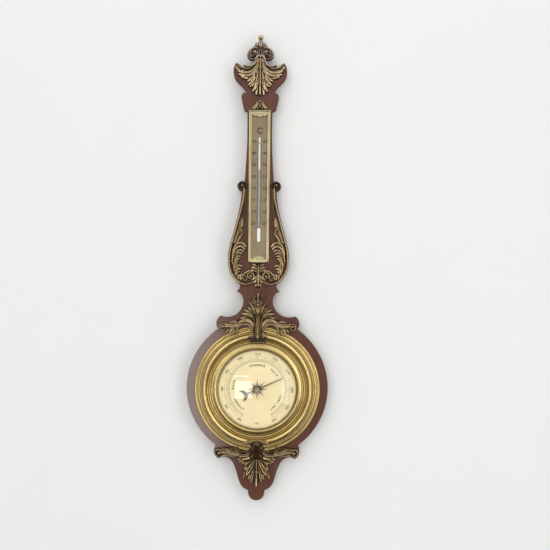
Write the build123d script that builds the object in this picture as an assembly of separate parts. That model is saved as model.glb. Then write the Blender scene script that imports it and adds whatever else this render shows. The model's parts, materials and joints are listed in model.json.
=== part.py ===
from build123d import *
import math
import os

# Aneroid wall barometer of the banjo kind, in millimetres.
# +X is the viewer's right, +Z is up, the front faces -Y and the wall is on the +Y side.
# The origin is the centre of the hanger's round hole, on the plate's wall side.

# ---- Driving dimensions ---------------------------------------------------------------------
BOARD_T = 18.0            # backboard thickness; its back face is y = 0
DIAL_Z = -460.0           # height of the dial's centre
PATTERN_Z = DIAL_Z - 1.3  # zero height of the board's and the mounts' outlines
DISC_R = 112.8            # round lower part of the board
DISC_RISE = 3.5           # its centre above the outlines' zero

GLASS_OPENING_R = 62.4    # sight of the glass
RING_OUT_R = 100.2        # outer spun ring
RING_LIP_R = 66.0         # bore of the ring's inner lip
CASE_R = 63.5             # movement can, outside
CASE_WALL = 1.0
CASE_FLANGE_R = 71.5
CASE_BACK_Y = 6.0         # the can's back face, behind the board
FLANGE_LOW = 1.0          # heights above the board's front face
FLANGE_TOP = 2.2
DIAL_R = 64.2
DIAL_TOP = 3.0
GLASS_R = 64.4
GLASS_SEAT = 4.6
GLASS_T = 2.0
GLASS_RISE = 7.0          # how far the convex glass stands up at its middle
SHAFT_R = 1.2             # set hand's shaft through the glass
RUNNING_GAP = 0.05        # radial clearance of shafts in their bores
HAND_ANGLE = 24.0         # hands at rest, degrees above +X

FRAME_HALF_W = 17.0       # thermometer frame
FRAME_TOP = 447.0
FRAME_BOTTOM = 203.0
FRAME_H = 6.5
PLATE_T = 1.5
TUBE_R = 1.5
TUBE_BORE_R = 0.9
TUBE_TOP = 403.5
TUBE_AXIS_H = 3.5
LIQUID_TOP = 352.0
BULB_TOP = 257.0
BULB_BOTTOM = 239.0
BULB_R = 2.0

HANGER_HOLE_R = 4.5
HANGER_SLOT_W = 4.2
HANGER_T = 1.5            # plate's thickness; it lies flush with the board's back
HANGER_HALF_W = 10.0
HANGER_LOW = -18.0
HANGER_HIGH = 22.0
HANGER_SCREW_Z = (18.0, -14.0)
BUMPER_R = 7.0
BUMPER_H = 8.0
BUMPER_SPREAD_R = 92.0

# ---- Inside the case: depths d are counted from the case's floor towards the front ----------
CASE_FLOOR_Y = CASE_BACK_Y - CASE_WALL
BASE_R = 55.0
BASE_T = 2.0
CAPSULE_Z = 18.0          # capsule centre above the dial's centre
CAPSULE_R = 22.0
CAPSULE_LOW = 3.0         # depths of its lower face, its rim and its upper face
CAPSULE_MID = 5.6
CAPSULE_HIGH = 8.2
SPRING_PIVOT_Z = 46.0     # where the main spring bends, above the dial's centre
SPRING_D = 12.0           # depth of the main spring's middle
SPRING_HALF_T = 0.6
KNUCKLE_R = 2.0
LEVER_X = 12.0            # the lever and its link stand right of the arbor
LEVER_T = 1.2
LINK_Z = -38.0            # link and rocker shaft, from the dial's centre
ROCKER_Z = -32.0
ROCKER_D = 4.6
ROCKER_R = 1.2
CHAIN_D = 13.5
DRUM_R = 1.0
CHAIN_X = DRUM_R + 0.7
ARBOR_R = 0.6
COCK_LOW = 15.0
COCK_HIGH = 18.0
ADJUSTER_Z = SPRING_PIVOT_Z + 3
ADJUSTER_R = 1.5
ADJUSTER_HEAD_R = 2.6
MOVING_GAP = 0.35


# ---- Helpers --------------------------------------------------------------------------------
def front(height):
    """Y of a point that stands this high above the board's front face."""
    return -BOARD_T - height


def depth(d):
    """Y of a point this deep inside the case, counted from its floor."""
    return CASE_FLOOR_Y - d


def outline_plane(height):
    """A plane parallel to the front, looking out, with the outlines' zero as its own."""
    return Plane(origin=(0, front(height), PATTERN_Z), x_dir=(1, 0, 0), z_dir=(0, -1, 0))


def side_edges(points):
    """Join (x, z, bulge) points; bulge is the rise of the arc to the next point, outwards."""
    edges = []
    for (x0, z0, bulge), (x1, z1, _) in zip(points, points[1:]):
        if bulge == 0:
            edges.append(Line((x0, z0), (x1, z1)))
            continue
        length = math.hypot(x1 - x0, z1 - z0)
        middle_x = (x0 + x1) / 2 - (z1 - z0) / length * bulge
        middle_z = (z0 + z1) / 2 + (x1 - x0) / length * bulge
        edges.append(ThreePointArc((x0, z0), (middle_x, middle_z), (x1, z1)))
    return edges


def mirrored_face(edges):
    """Close a right-hand side, which starts and ends on the middle line, with its mirror."""
    side = Curve() + edges
    return make_face(side + mirror(side, Plane.YZ))


def closed_face(points):
    """A face bounded by (x, z, bulge) points, the last joined to the first."""
    return make_face(Curve() + side_edges(points + [points[0]]))


def raise_face(face, low, high):
    """Extrude an outline between two heights above the board's front face."""
    return extrude(outline_plane(low) * face, amount=high - low)


def turned(points):
    """Revolve (radius, height, bulge) points about the dial's axis."""
    plane = Plane(origin=(0, -BOARD_T, DIAL_Z), x_dir=(1, 0, 0), z_dir=(0, 0, -1))
    axis = Axis((0, 0, DIAL_Z), (0, 1, 0))
    return revolve(plane * closed_face(points), axis=axis)


def rod(radius, y0, y1, x=0.0, z=DIAL_Z):
    """A round bar along Y."""
    bar = Rot(90, 0, 0) * Cylinder(radius, abs(y1 - y0))
    return Pos(x, (y0 + y1) / 2, z) * bar


def cross_rod(radius, x0, x1, y, z):
    """A round bar along X."""
    bar = Rot(0, 90, 0) * Cylinder(radius, abs(x1 - x0))
    return Pos((x0 + x1) / 2, y, z) * bar


def post(radius, z0, z1, x, y):
    """A round bar along Z."""
    return Pos(x, y, (z0 + z1) / 2) * Cylinder(radius, abs(z1 - z0))


def block(x0, x1, y0, y1, z0, z1):
    """A box between two corners."""
    size = Box(abs(x1 - x0), abs(y1 - y0), abs(z1 - z0))
    return Pos((x0 + x1) / 2, (y0 + y1) / 2, (z0 + z1) / 2) * size


def ring_spots(radius, degrees):
    """Places on a circle about the dial's centre, as (x, z)."""
    return [
        (radius * math.cos(math.radians(a)), DIAL_Z + radius * math.sin(math.radians(a)))
        for a in degrees
    ]


def both_sides(shape):
    """A shape and its mirror across the middle plane, as one group."""
    return shape + mirror(shape, Plane.YZ)


def slotted_screw(x, z, head_y, head_h, head_r, shank_r, shank_end_y):
    """A cheese-head screw along Y whose head stands on head_y and points away from the shank."""
    out = 1 if shank_end_y < head_y else -1
    top = head_y + out * head_h
    screw = rod(head_r, head_y, top, x, z) + rod(shank_r, head_y, shank_end_y, x, z)
    slot = block(x - head_r, x + head_r, top, top - out * head_h * 0.5, z - 0.35, z + 0.35)
    return screw - slot


# ---- Wood -----------------------------------------------------------------------------------
def board_side():
    """Right-hand side of the board's outline, from its top to its foot."""
    disc_x_high = 63.2
    disc_x_low = 65.0
    disc_high = DISC_RISE + math.sqrt(DISC_R**2 - disc_x_high**2)
    disc_low = DISC_RISE - math.sqrt(DISC_R**2 - disc_x_low**2)
    return [
        Line((0, 527), (8, 527)),
        Spline((8, 527), (12, 519.5), (21, 515.5), (31, 518.5), (38.2, 523.4)),      # horn's inside
        Spline((38.2, 523.4), (42.9, 511), (40.3, 499.2), (31.6, 489.5), (21.9, 475.2)),
        ThreePointArc((21.9, 475.2), (28.2, 473.2), (30.1, 468.6)),                  # capital
        ThreePointArc((30.1, 468.6), (28.2, 459), (25.6, 448.8)),
        Line((25.6, 448.8), (19.7, 446)),
        Line((19.7, 446), (19.8, 398)),                                             # neck
        ThreePointArc((19.8, 398), (21.1, 366), (23.3, 332.3)),
        ThreePointArc((23.3, 332.3), (34.6, 328), (30.4, 319.1)),                    # scroll ear
        Line((30.4, 319.1), (27.6, 316.8)),
        Spline((27.6, 316.8), (28.8, 304), (35.4, 272), (44, 240), (49, 208),        # pear
               (43.2, 184), (29.3, 168)),
        Line((29.3, 168), (29.1, 165.3)),
        ThreePointArc((29.1, 165.3), (31.2, 160.6), (34.6, 157.6)),                  # small ear
        ThreePointArc((34.6, 157.6), (27.6, 153), (23.6, 144)),
        ThreePointArc((23.6, 144), (31.4, 123.4), (60.2, 117.4)),                    # waist
        ThreePointArc((60.2, 117.4), (66.2, 108.8), (disc_x_high, disc_high)),
        ThreePointArc((disc_x_high, disc_high), (DISC_R, DISC_RISE), (disc_x_low, disc_low)),
        ThreePointArc((disc_x_low, disc_low), (68.3, -100), (60.8, -110.4)),         # lower ear
        Spline((60.8, -110.4), (53.6, -107.5), (42.5, -111.5), (34.5, -124), (30.6, -136),
               (24.8, -152), (13.3, -160.5)),
        Line((13.3, -160.5), (12.9, -164)),
        ThreePointArc((12.9, -164), (9.1, -173.1), (0, -176.8)),                     # foot
    ]


def backboard():
    """The shaped board, with the movement's hole and the hanger's recess."""
    slab = extrude(outline_plane(0) * mirrored_face(board_side()), amount=-BOARD_T)
    slab -= rod(CASE_R + 1.0, 1, -BOARD_T - 1)
    slab -= block(-HANGER_HALF_W, HANGER_HALF_W, 1, -HANGER_T, HANGER_LOW, HANGER_HIGH)
    nail_room = block(-6.5, 6.5, 0, -8.5, -6, 15)
    return slab - nail_room


def finial_dowel():
    """Wooden peg that joins the finial's casting to the board's top."""
    return post(2.6, PATTERN_Z + 514.5, PATTERN_Z + 539, 0, -BOARD_T / 2)


# ---- Finial and crest -----------------------------------------------------------------------
def finial_carving():
    """Bud, band and two volutes, cast in one; it stands on the board's top."""
    bud = mirrored_face(side_edges([
        (0, 561.5, 0.5), (5.2, 557, 0.5), (5.6, 553.6, 0.3), (10.4, 552, 1.0),
        (8.6, 547.6, 0.4), (3.0, 545.9, 0), (0, 545.9, 0),
    ]))
    band = mirrored_face(side_edges([
        (0, 546.6, 0), (2.9, 546.6, 0.6), (2.9, 543.8, 0), (0, 543.8, 0),
    ]))
    scrolls = mirrored_face(side_edges([
        (0, 544.2, 0), (3.4, 544.2, 1.2), (12.5, 548.6, 3.4), (20, 535.8, 2.6),
        (13.6, 528.4, 1.0), (8.6, 529.6, 0), (8.0, 527, 0), (0, 527, 0),
    ]))
    middle = BOARD_T / 2
    piece = extrude(outline_plane(-middle - 6) * bud, amount=12)
    piece += extrude(outline_plane(-middle - 4) * band, amount=8)
    piece += extrude(outline_plane(-middle - 7) * scrolls, amount=14)
    return piece - finial_dowel()


def finial_ball():
    """Turned ball on a short neck."""
    y = -BOARD_T / 2
    ball = Pos(0, y, PATTERN_Z + 565.6) * Sphere(4.3)
    neck = post(1.6, PATTERN_Z + 561.5, PATTERN_Z + 563, 0, y)
    below = post(3, PATTERN_Z + 559, PATTERN_Z + 561.5, 0, y)
    return ball + neck - below


def crest_leaf_mount():
    """Large acanthus leaf between the horns."""
    leaf = mirrored_face(side_edges([
        (0, 533, 0), (6.4, 533, -0.8), (11, 520.5, -0.6), (25.6, 520.5, 0.8), (25, 516, 0.4),
        (38, 514.5, 1.2), (30.5, 507, 0.3), (32.5, 500.5, 0.8), (23, 503.5, 0.3),
        (20, 497.5, 0.8), (15.5, 494, 0.3), (17.6, 485, 1.0), (11.6, 486.5, 0.3),
        (11.6, 479, 0.8), (6.6, 482, 0.3), (5, 475, 0.6), (2.6, 477, 0.2), (0, 471, 0),
    ]))
    return raise_face(leaf, 0, 9)


def pediment_mount():
    """Small triangular mount with three pearls over the thermometer."""
    triangle = mirrored_face(side_edges([
        (0, 463.5, 0), (2, 463, 0), (10.8, 450.5, 0.6), (10.8, 447.6, 0), (0, 447.6, 0),
    ]))
    return raise_face(triangle, 0, 4.5)


# ---- Thermometer ----------------------------------------------------------------------------
def thermometer_frame():
    """Brass frame with a lambrequin at its head and a low pediment at its foot."""
    outside = closed_face([
        (-FRAME_HALF_W, FRAME_TOP, 0), (FRAME_HALF_W, FRAME_TOP, 0),
        (FRAME_HALF_W, FRAME_BOTTOM, 0), (-FRAME_HALF_W, FRAME_BOTTOM, 0),
    ])
    opening = closed_face([
        (-12.3, 437, -0.8), (-8, 440.5, -1.2), (-4, 438, -1.0), (0, 434.6, -1.0),
        (4, 438, -1.2), (8, 440.5, -0.8), (12.3, 437, 0), (12.3, 208.5, 0),
        (0, 215, 0), (-12.3, 208.5, 0),
    ])
    frame = raise_face(outside, 0, FRAME_H) - raise_face(opening, -1, FRAME_H + 1)
    return frame - thermometer_scale_plate()


def thermometer_scale_plate():
    """Thin plate behind the frame, which carries the degrees."""
    half = 14.5
    low = PATTERN_Z + FRAME_BOTTOM + 2.5
    high = PATTERN_Z + FRAME_TOP - 2.5
    return block(-half, half, front(0), front(PLATE_T), low, high)


def thermometer_tube():
    """Glass capillary with its bulb, hollow for the liquid."""
    y = front(TUBE_AXIS_H)
    stem = post(TUBE_R, PATTERN_Z + BULB_TOP - 1, PATTERN_Z + TUBE_TOP, 0, y)
    bulb = post(BULB_R, PATTERN_Z + BULB_BOTTOM, PATTERN_Z + BULB_TOP, 0, y)
    bore = post(TUBE_BORE_R, PATTERN_Z + BULB_BOTTOM + 1.5, PATTERN_Z + TUBE_TOP - 2, 0, y)
    return stem + bulb - bore


def thermometer_liquid():
    """The column, from the bulb up to its reading."""
    y = front(TUBE_AXIS_H)
    return post(TUBE_BORE_R, PATTERN_Z + BULB_BOTTOM + 1.5, PATTERN_Z + LIQUID_TOP, 0, y)


def bulb_guard():
    """White half tube over the bulb, open towards the plate."""
    y = front(TUBE_AXIS_H)
    low = PATTERN_Z + BULB_BOTTOM - 2
    high = PATTERN_Z + BULB_TOP + 1
    shell = post(BULB_R + 0.8, low, high, 0, y)
    shell += block(-BULB_R - 0.8, BULB_R + 0.8, y, front(PLATE_T), low, high)
    shell -= post(BULB_R + 0.1, low + 0.8, high + 1, 0, y)
    shell -= block(-BULB_R - 0.1, BULB_R + 0.1, y, front(0), low + 0.8, high + 1)
    return shell & block(-5, 5, front(PLATE_T), front(9), low, high)


def tube_clips():
    """Two wire clips that hold the tube on its plate."""
    y = front(TUBE_AXIS_H)
    clips = Part()
    for z in (394, 262):
        outer = post(TUBE_R + 0.5, PATTERN_Z + z - 0.7, PATTERN_Z + z + 0.7, 0, y)
        inner = post(TUBE_R + 0.02, PATTERN_Z + z - 1, PATTERN_Z + z + 1, 0, y)
        foot = block(-4.2, 4.2, front(PLATE_T), front(PLATE_T + 0.5),
                     PATTERN_Z + z - 0.7, PATTERN_Z + z + 0.7)
        clips += foot + outer - inner
    return clips


# ---- Mounts of the pear ---------------------------------------------------------------------
def side_mount(side):
    """Scrolled rail that follows the pear's edge; side is +1 on the right, -1 on the left."""
    rail = closed_face([
        (22.0, 325, 0.4), (26.0, 321, -0.6), (27.4, 304, -0.6), (34, 272, 0), (42.4, 240, 1.2),
        (47.2, 208, 2.2), (41.8, 184.5, 0.8), (28.4, 168.6, 0.3), (15, 168.4, 0.5),
        (8.6, 176, 3.6), (15.8, 184.5, 0.4), (24, 182, -1.4), (34, 186.5, 0.6), (37.5, 199, 0.4),
        (40.5, 209, -1.0), (31, 212.5, 1.0), (24.5, 221, 1.0), (18.2, 231, 2.0),
        (24, 240.5, 0.8), (31, 238, -0.6), (33, 246, 0.6), (27.5, 251, 0.6), (28, 262, 0.6),
        (23.6, 270, 0.6), (25.6, 284, -0.4), (22.8, 304, 0),
    ])
    volute = Pos(27.4, 326) * Circle(6.2)
    piece = raise_face(rail, 0, 6) + raise_face(volute, 0, 6)
    return piece if side > 0 else mirror(piece, Plane.YZ)


def pear_bottom_mount():
    """Cartouche with leaves, under the thermometer."""
    leaf = mirrored_face(side_edges([
        (0, 200.5, 0), (5, 199.5, 1.0), (11, 193.5, 0.8), (9.6, 188.5, 1.0), (7.6, 182, -0.8),
        (6.8, 176, 0.6), (3.6, 168.6, 0.4), (0, 164.5, 0),
    ]))
    return raise_face(leaf, 0, 6)


# ---- Ring, bezel and glass ------------------------------------------------------------------
def ring_profile(gap):
    """The spun ring's upper face, from its inner wall out to its rim, enlarged by a gap."""
    return [
        (74.2, 7.8 + gap, 0), (75.0 - gap, 9.0 + gap, 1.1), (77.9 + gap, 9.0 + gap, -1.5),
        (81.8 - gap, 8.4 + gap, 5.2 + gap), (89.2 + gap, 6.6 + gap, 0), (89.6 + gap, 5.4 + gap, 0),
        (91.4 - gap, 5.0 + gap, 1.2), (94.6 + gap, 4.4 + gap, 0), (95.2 + gap, 2.6 + gap, 0),
        (98.4 - gap, 2.0 + gap, 0.9 + gap), (RING_OUT_R + gap, 2.0 + gap, 0),
    ]


def outer_bezel_ring():
    """Spun brass ring, hollow beneath, with a lip that the movement's flange holds down."""
    lip = [(RING_LIP_R, 0, 0), (RING_LIP_R, FLANGE_LOW, 0), (74.2, FLANGE_LOW, 0)]
    body = turned(lip + ring_profile(0) + [(RING_OUT_R, 0, 0)])
    hollow = turned([
        (76, -1, 0), (76, 6.2, 0), (80.2, 5.8, 0), (83.8, 8.2, 0), (87.2, 8.0, 0), (88.4, 3.8, 0),
        (92.6, 3.4, 0), (93.8, 1.3, 0), (98.8, 1.0, 0), (98.8, -1, 0),
    ])
    return body - hollow


def ring_envelope():
    """The room that the ring takes up, a little enlarged, for the mounts that lie over it."""
    gap = 0.3
    inside = [(60, -1, 0), (60, 9, 0), (74.0, 9, 0)]
    return turned(inside + ring_profile(gap) + [(RING_OUT_R + gap, -1, 0)])


def sight_bezel():
    """Inner ring that carries the glass."""
    body = turned([
        (GLASS_R + 0.2, FLANGE_TOP, 0), (GLASS_R + 0.2, 6.65, 0), (GLASS_OPENING_R, 7.15, 0),
        (GLASS_OPENING_R, 7.9, 0.45), (64.4, 8.6, -0.9), (70.9, 10.2, 0.9), (73.5, 9.4, 0),
        (73.5, FLANGE_TOP, 0),
    ])
    hollow = turned([(66.2, 2, 0), (66.2, 6.4, 0), (71.9, 7.4, 0), (71.9, 2, 0)])
    return body - hollow


def dial_plate():
    """Enamelled dial, bored for the arbor."""
    bore = rod(2.0, front(FLANGE_TOP - 1), front(DIAL_TOP + 1))
    return rod(DIAL_R, front(FLANGE_TOP), front(DIAL_TOP)) - bore


def glass_height(radius, top):
    """Height of the glass's inner or outer face at a radius."""
    sphere = (GLASS_R**2 + GLASS_RISE**2) / (2 * GLASS_RISE)
    drop = sphere - math.sqrt(sphere**2 - radius**2)
    return GLASS_SEAT + GLASS_RISE - drop + (GLASS_T if top else 0)


def dial_glass():
    """Convex glass, bored for the set hand's bush."""
    bore = 2.6
    half = GLASS_R / 2
    plane = Plane(origin=(0, -BOARD_T, DIAL_Z), x_dir=(1, 0, 0), z_dir=(0, 0, -1))
    edges = []
    for top in (False, True):
        start, middle, end = [(r, glass_height(r, top)) for r in (bore, half, GLASS_R)]
        edges.append(ThreePointArc(start, middle, end))
    for radius in (bore, GLASS_R):
        low, high = [(radius, glass_height(radius, top)) for top in (False, True)]
        edges.append(Line(low, high))
    return revolve(plane * make_face(Curve() + edges), axis=Axis((0, 0, DIAL_Z), (0, 1, 0)))


def glass_retainer():
    """Spring ring between the dial and the glass."""
    return turned([
        (62.6, DIAL_TOP, 0), (62.6, GLASS_SEAT, 0), (64.5, GLASS_SEAT, 0), (64.5, DIAL_TOP, 0),
    ])


def glass_bush():
    """Flanged brass bush in the glass, a bearing for the set hand's shaft."""
    low = glass_height(2.6, False)
    high = glass_height(2.6, True)
    bush = rod(2.6, front(low - 0.8), front(high + 0.8))
    bush += rod(3.8, front(low), front(low - 0.8)) + rod(3.6, front(high), front(high + 0.8))
    bush -= rod(SHAFT_R + RUNNING_GAP, front(low - 2), front(high + 2))
    return bush - dial_glass()


# ---- Mounts over the ring -------------------------------------------------------------------
def upper_dial_mount():
    """Palmette above the dial, with side scrolls and a foot on the ring."""
    palmette = mirrored_face(side_edges([
        (0, 155, 0), (4.2, 149, 0.3), (3.8, 146, 0.3), (9, 145.5, 0.8), (8.6, 139, 0.4),
        (18, 136.5, 1.0), (15, 131, 0.3), (18.4, 125, 1.0), (12.6, 121, -0.6), (14, 112, 0),
        (24, 108.5, 0.8), (36, 104.5, -0.6), (50, 108, 1.4), (60.5, 101.5, 2.6),
        (54.5, 94.8, 0.4), (47, 96, 0.3), (44, 88.5, 1.0), (36.5, 90, 0.4), (30, 96, 0),
        (0, 96, 0),
    ]))
    foot = mirrored_face(side_edges([
        (0, 112, 0), (14, 112, 0.6), (28, 103, 0.4), (28, 95, 0.4), (11, 93, -0.6),
        (11, 84, 0.6), (7, 79.5, 0), (0, 78.5, 0),
    ]))
    window = closed_face([
        (12.5, 100.5, 0.6), (26, 100.5, 0.6), (26, 97, 0.4), (12.5, 96.6, 0.4),
    ])
    piece = raise_face(palmette, 0, 9) + raise_face(foot, 0, 17)
    piece -= both_sides(raise_face(window, -1, 18))
    return piece - ring_envelope()


def lower_dial_mount():
    """Claws on the ring, a flared stem and a hanging palmette, with side scrolls."""
    leaf = mirrored_face(side_edges([
        (0, -96, 0), (30, -94, 0.5), (38, -88.5, 1.0), (46, -93, 0.4), (54, -93, 1.0),
        (66, -95.5, 3.0), (58, -106, 0.6), (45, -103.5, -0.8), (30, -107.5, 0.6),
        (18, -108, -0.8), (14, -114, 0.6), (22, -120, 0.8), (17.6, -127, 0.3), (20, -136, 0.8),
        (12.6, -137.5, 0.3), (10, -146, 0.6), (5, -146, 0.2), (0, -153.5, 0),
    ]))
    claws = mirrored_face(side_edges([
        (0, -79, 0), (7, -79, 0.6), (19, -83, 0.8), (20, -90, 0.4), (31, -95, 0.4),
        (31, -103, 0.5), (12, -108, 0), (0, -108, 0),
    ]))
    window = closed_face([
        (13.5, -95, 0.6), (28, -96.5, 0.6), (28, -99.5, 0.4), (13.5, -99.5, 0.4),
    ])
    piece = raise_face(leaf, 0, 9) + raise_face(claws, 0, 17)
    piece -= both_sides(raise_face(window, -1, 18))
    return piece - ring_envelope()


# ---- Pins and screws ------------------------------------------------------------------------
MOUNT_PIN_SPOTS = [
    # x, outline height, height of the mount's face
    (0, 512, 9), (0, 487, 9), (0, 454, 4.5), (27.4, 326, 6), (-27.4, 326, 6), (29, 256, 6),
    (-29, 256, 6), (42, 206, 6), (-42, 206, 6), (0, 190, 6), (0, 136, 9), (56, 101.5, 9),
    (-56, 101.5, 9), (60, -100, 9), (-60, -100, 9), (0, -130, 9),
]
FRAME_PIN_SPOTS = [
    (14.6, 444.5, FRAME_H), (-14.6, 444.5, FRAME_H), (14.6, 205.5, FRAME_H), (-14.6, 205.5, FRAME_H),
]


def pins(spots, head_r):
    """Round-headed brass pins driven through a mount into the board."""
    shank_r = 0.6
    shank_end = -7.0
    group = Part()
    for x, outline_z, height in spots:
        z = PATTERN_Z + outline_z
        outer_half = rod(head_r + 1, front(height), front(height + head_r + 1), x, z)
        head = (Pos(x, front(height), z) * Sphere(head_r)) & outer_half
        group += head + rod(shank_r, front(height + 0.1), front(shank_end), x, z)
    return group


def case_screws():
    """Three screws through the movement's flange and the ring's lip into the board."""
    group = Part()
    for x, z in ring_spots(69.0, (90, 210, 330)):
        group += slotted_screw(x, z, front(FLANGE_TOP), 1.4, 2.2, 1.2, front(-10))
    return group


def hanger_screws():
    """Two screws that hold the hanger in its recess."""
    group = Part()
    for z in HANGER_SCREW_Z:
        group += slotted_screw(0, z, 0, 0.9, 2.6, 1.4, -13)
    return group


# ---- Back -----------------------------------------------------------------------------------
def hanger_plate():
    """Steel keyhole plate, flush with the board's back."""
    plate = block(-HANGER_HALF_W, HANGER_HALF_W, 0, -HANGER_T, HANGER_LOW, HANGER_HIGH)
    plate -= rod(HANGER_HOLE_R, 1, -HANGER_T - 1, 0, 0)
    slot = block(-HANGER_SLOT_W / 2, HANGER_SLOT_W / 2, 1, -HANGER_T - 1, 0, 10)
    slot += rod(HANGER_SLOT_W / 2, 1, -HANGER_T - 1, 0, 10)
    return plate - slot


def wall_bumpers():
    """Four rubber bumpers that keep the case off the wall."""
    group = Part()
    for x, z in ring_spots(BUMPER_SPREAD_R, (45, 135, 225, 315)):
        group += rod(BUMPER_R, 0, BUMPER_H, x, z)
    return group


# ---- Movement: what stands still --------------------------------------------------------------
def movement_case():
    """Drawn can with a flange, open to the front."""
    flange_low = front(FLANGE_LOW)
    flange_top = front(FLANGE_TOP)
    can = rod(CASE_R, CASE_BACK_Y, flange_top) + rod(CASE_FLANGE_R, flange_low, flange_top)
    can -= rod(CASE_R - CASE_WALL, CASE_FLOOR_Y, flange_top - 1)
    return can - rod(3.0, CASE_BACK_Y + 1, CASE_FLOOR_Y - 1, 0, DIAL_Z + ADJUSTER_Z)


def movement_base_plate():
    """Round plate on the can's floor, which carries the whole mechanism."""
    plate = rod(BASE_R, depth(0), depth(BASE_T))
    plate -= rod(2.2, depth(-1), depth(BASE_T + 1), 0, DIAL_Z + CAPSULE_Z)
    adjuster_bore = ADJUSTER_R + RUNNING_GAP
    return plate - rod(adjuster_bore, depth(-1), depth(BASE_T + 1), 0, DIAL_Z + ADJUSTER_Z)


def base_plate_screws():
    """Three screws through the can's floor into the base plate."""
    group = Part()
    for x, z in ring_spots(45.0, (30, 150, 270)):
        group += slotted_screw(x, z, CASE_BACK_Y, 1.4, 2.6, 1.3, depth(BASE_T))
    return group


def capsule_half(face_d):
    """One stepped diaphragm, from the capsule's rim to its face at this depth."""
    z = DIAL_Z + CAPSULE_Z
    rise = face_d - CAPSULE_MID
    shell = rod(CAPSULE_R, depth(CAPSULE_MID), depth(CAPSULE_MID + 0.24 * rise), 0, z)
    for radius, share in ((18.0, 0.6), (13.0, 0.8), (8.0, 1.0)):
        shell += rod(radius, depth(CAPSULE_MID), depth(CAPSULE_MID + share * rise), 0, z)
    return shell


def capsule_lower():
    """Diaphragm on the base plate, with its stud through the plate."""
    z = DIAL_Z + CAPSULE_Z
    shell = capsule_half(CAPSULE_LOW)
    foot = rod(4, depth(BASE_T), depth(CAPSULE_LOW + 1), 0, z)
    stud = rod(2.2, depth(0), depth(BASE_T), 0, z)
    return shell + foot + stud


def capsule_upper():
    """Diaphragm with the socket that the spring's post pulls on."""
    z = DIAL_Z + CAPSULE_Z
    shell = capsule_half(CAPSULE_HIGH)
    shell += rod(4.2, depth(CAPSULE_MID + 1), depth(CAPSULE_HIGH + 1.6), 0, z)
    return shell - rod(2.4, depth(CAPSULE_HIGH - 1.2), depth(CAPSULE_HIGH + 2), 0, z)


def spring_bridge():
    """Cast bridge that grips the main spring's knuckle."""
    z = DIAL_Z + SPRING_PIVOT_Z
    bridge = block(-16, 16, depth(BASE_T), depth(SPRING_D + 4), z - 3, z + 8)
    bridge -= block(-10, 10, depth(BASE_T), depth(BASE_T + 4), z - 4, z + 9)
    bridge -= cross_rod(KNUCKLE_R + 0.1, -17, 17, depth(SPRING_D), z)
    return bridge - block(-17, 17, depth(SPRING_D - 1.2), depth(SPRING_D + 1.2), z - 4, z)


def bridge_screws():
    """Two screws from the bridge's front into the base plate."""
    group = Part()
    z = DIAL_Z + SPRING_PIVOT_Z + 5.2
    for x in (-13, 13):
        group += slotted_screw(x, z, depth(SPRING_D + 4), 1.2, 2.0, 1.1, depth(0.5))
    return group


def rocker_bearings():
    """Two uprights that carry the rocker shaft."""
    group = Part()
    z = DIAL_Z + ROCKER_Z
    for x in (-8.0, 17.0):
        upright = block(x - 1.2, x + 1.2, depth(BASE_T), depth(ROCKER_D + 3), z - 3, z + 3)
        group += upright - cross_rod(ROCKER_R + RUNNING_GAP, x - 3, x + 3, depth(ROCKER_D), z)
    return group


def arbor_cock():
    """Bar over the mechanism with the pointer arbor's bearing and the hairspring's stud hole."""
    bar = block(-34, 34, depth(COCK_LOW), depth(COCK_HIGH), DIAL_Z - 5, DIAL_Z + 5)
    bar -= rod(ARBOR_R + RUNNING_GAP, depth(COCK_LOW - 1), depth(COCK_HIGH + 1))
    return bar


def cock_pillars():
    """Two turned pillars under the cock."""
    group = Part()
    for x in (-30, 30):
        group += rod(2.6, depth(BASE_T), depth(COCK_LOW), x, DIAL_Z)
    return group


def hairspring():
    """Flat spiral, pinned at its outer end; its inner end stays clear of the arbor."""
    turns = 4
    inner_r = 1.6
    pitch = 1.2
    spiral = Part()
    for half_turn in range(2 * turns):
        radius = inner_r + pitch * half_turn / 2
        upper = half_turn % 2 == 1
        centre_x = pitch / 2 if upper else 0
        band = rod(radius + 0.15, depth(19.4), depth(20.4)) - rod(radius - 0.15, depth(19), depth(21))
        half = block(-20, 20, depth(19), depth(21), DIAL_Z, DIAL_Z + (20 if upper else -20))
        spiral += Pos(centre_x, 0, 0) * (band & half)
    return spiral


def hairspring_stud():
    """Post on the cock that holds the hairspring's outer end."""
    return rod(0.9, depth(COCK_HIGH), depth(20.6), 6.4, DIAL_Z - 0.6) - hairspring()


def chain():
    """Fine chain from the drum down to the rocker's forked arm."""
    group = Part()
    links = 11
    pitch = 2.8
    back, face = depth(CHAIN_D - 0.3), depth(CHAIN_D + 0.3)
    for i in range(links):
        low = DIAL_Z - 1.2 - pitch * (i + 1)
        half = 0.35 if i % 2 else 0.25
        group += block(CHAIN_X - half, CHAIN_X + half, back, face, low, low + pitch)
    return group


# ---- Movement: what moves --------------------------------------------------------------------
def main_spring():
    """Leaf spring from its knuckle in the bridge to a point over the capsule."""
    z = DIAL_Z + SPRING_PIVOT_Z
    back, face = depth(SPRING_D - SPRING_HALF_T), depth(SPRING_D + SPRING_HALF_T)
    leaf = block(-9, 9, back, face, DIAL_Z + 9, z)
    return leaf + cross_rod(KNUCKLE_R, -14, 14, depth(SPRING_D), z)


def capsule_post():
    """Post between the capsule's socket and the spring."""
    top = depth(SPRING_D - SPRING_HALF_T)
    return rod(2.0, depth(CAPSULE_HIGH - 0.1), top, 0, DIAL_Z + CAPSULE_Z)


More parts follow.
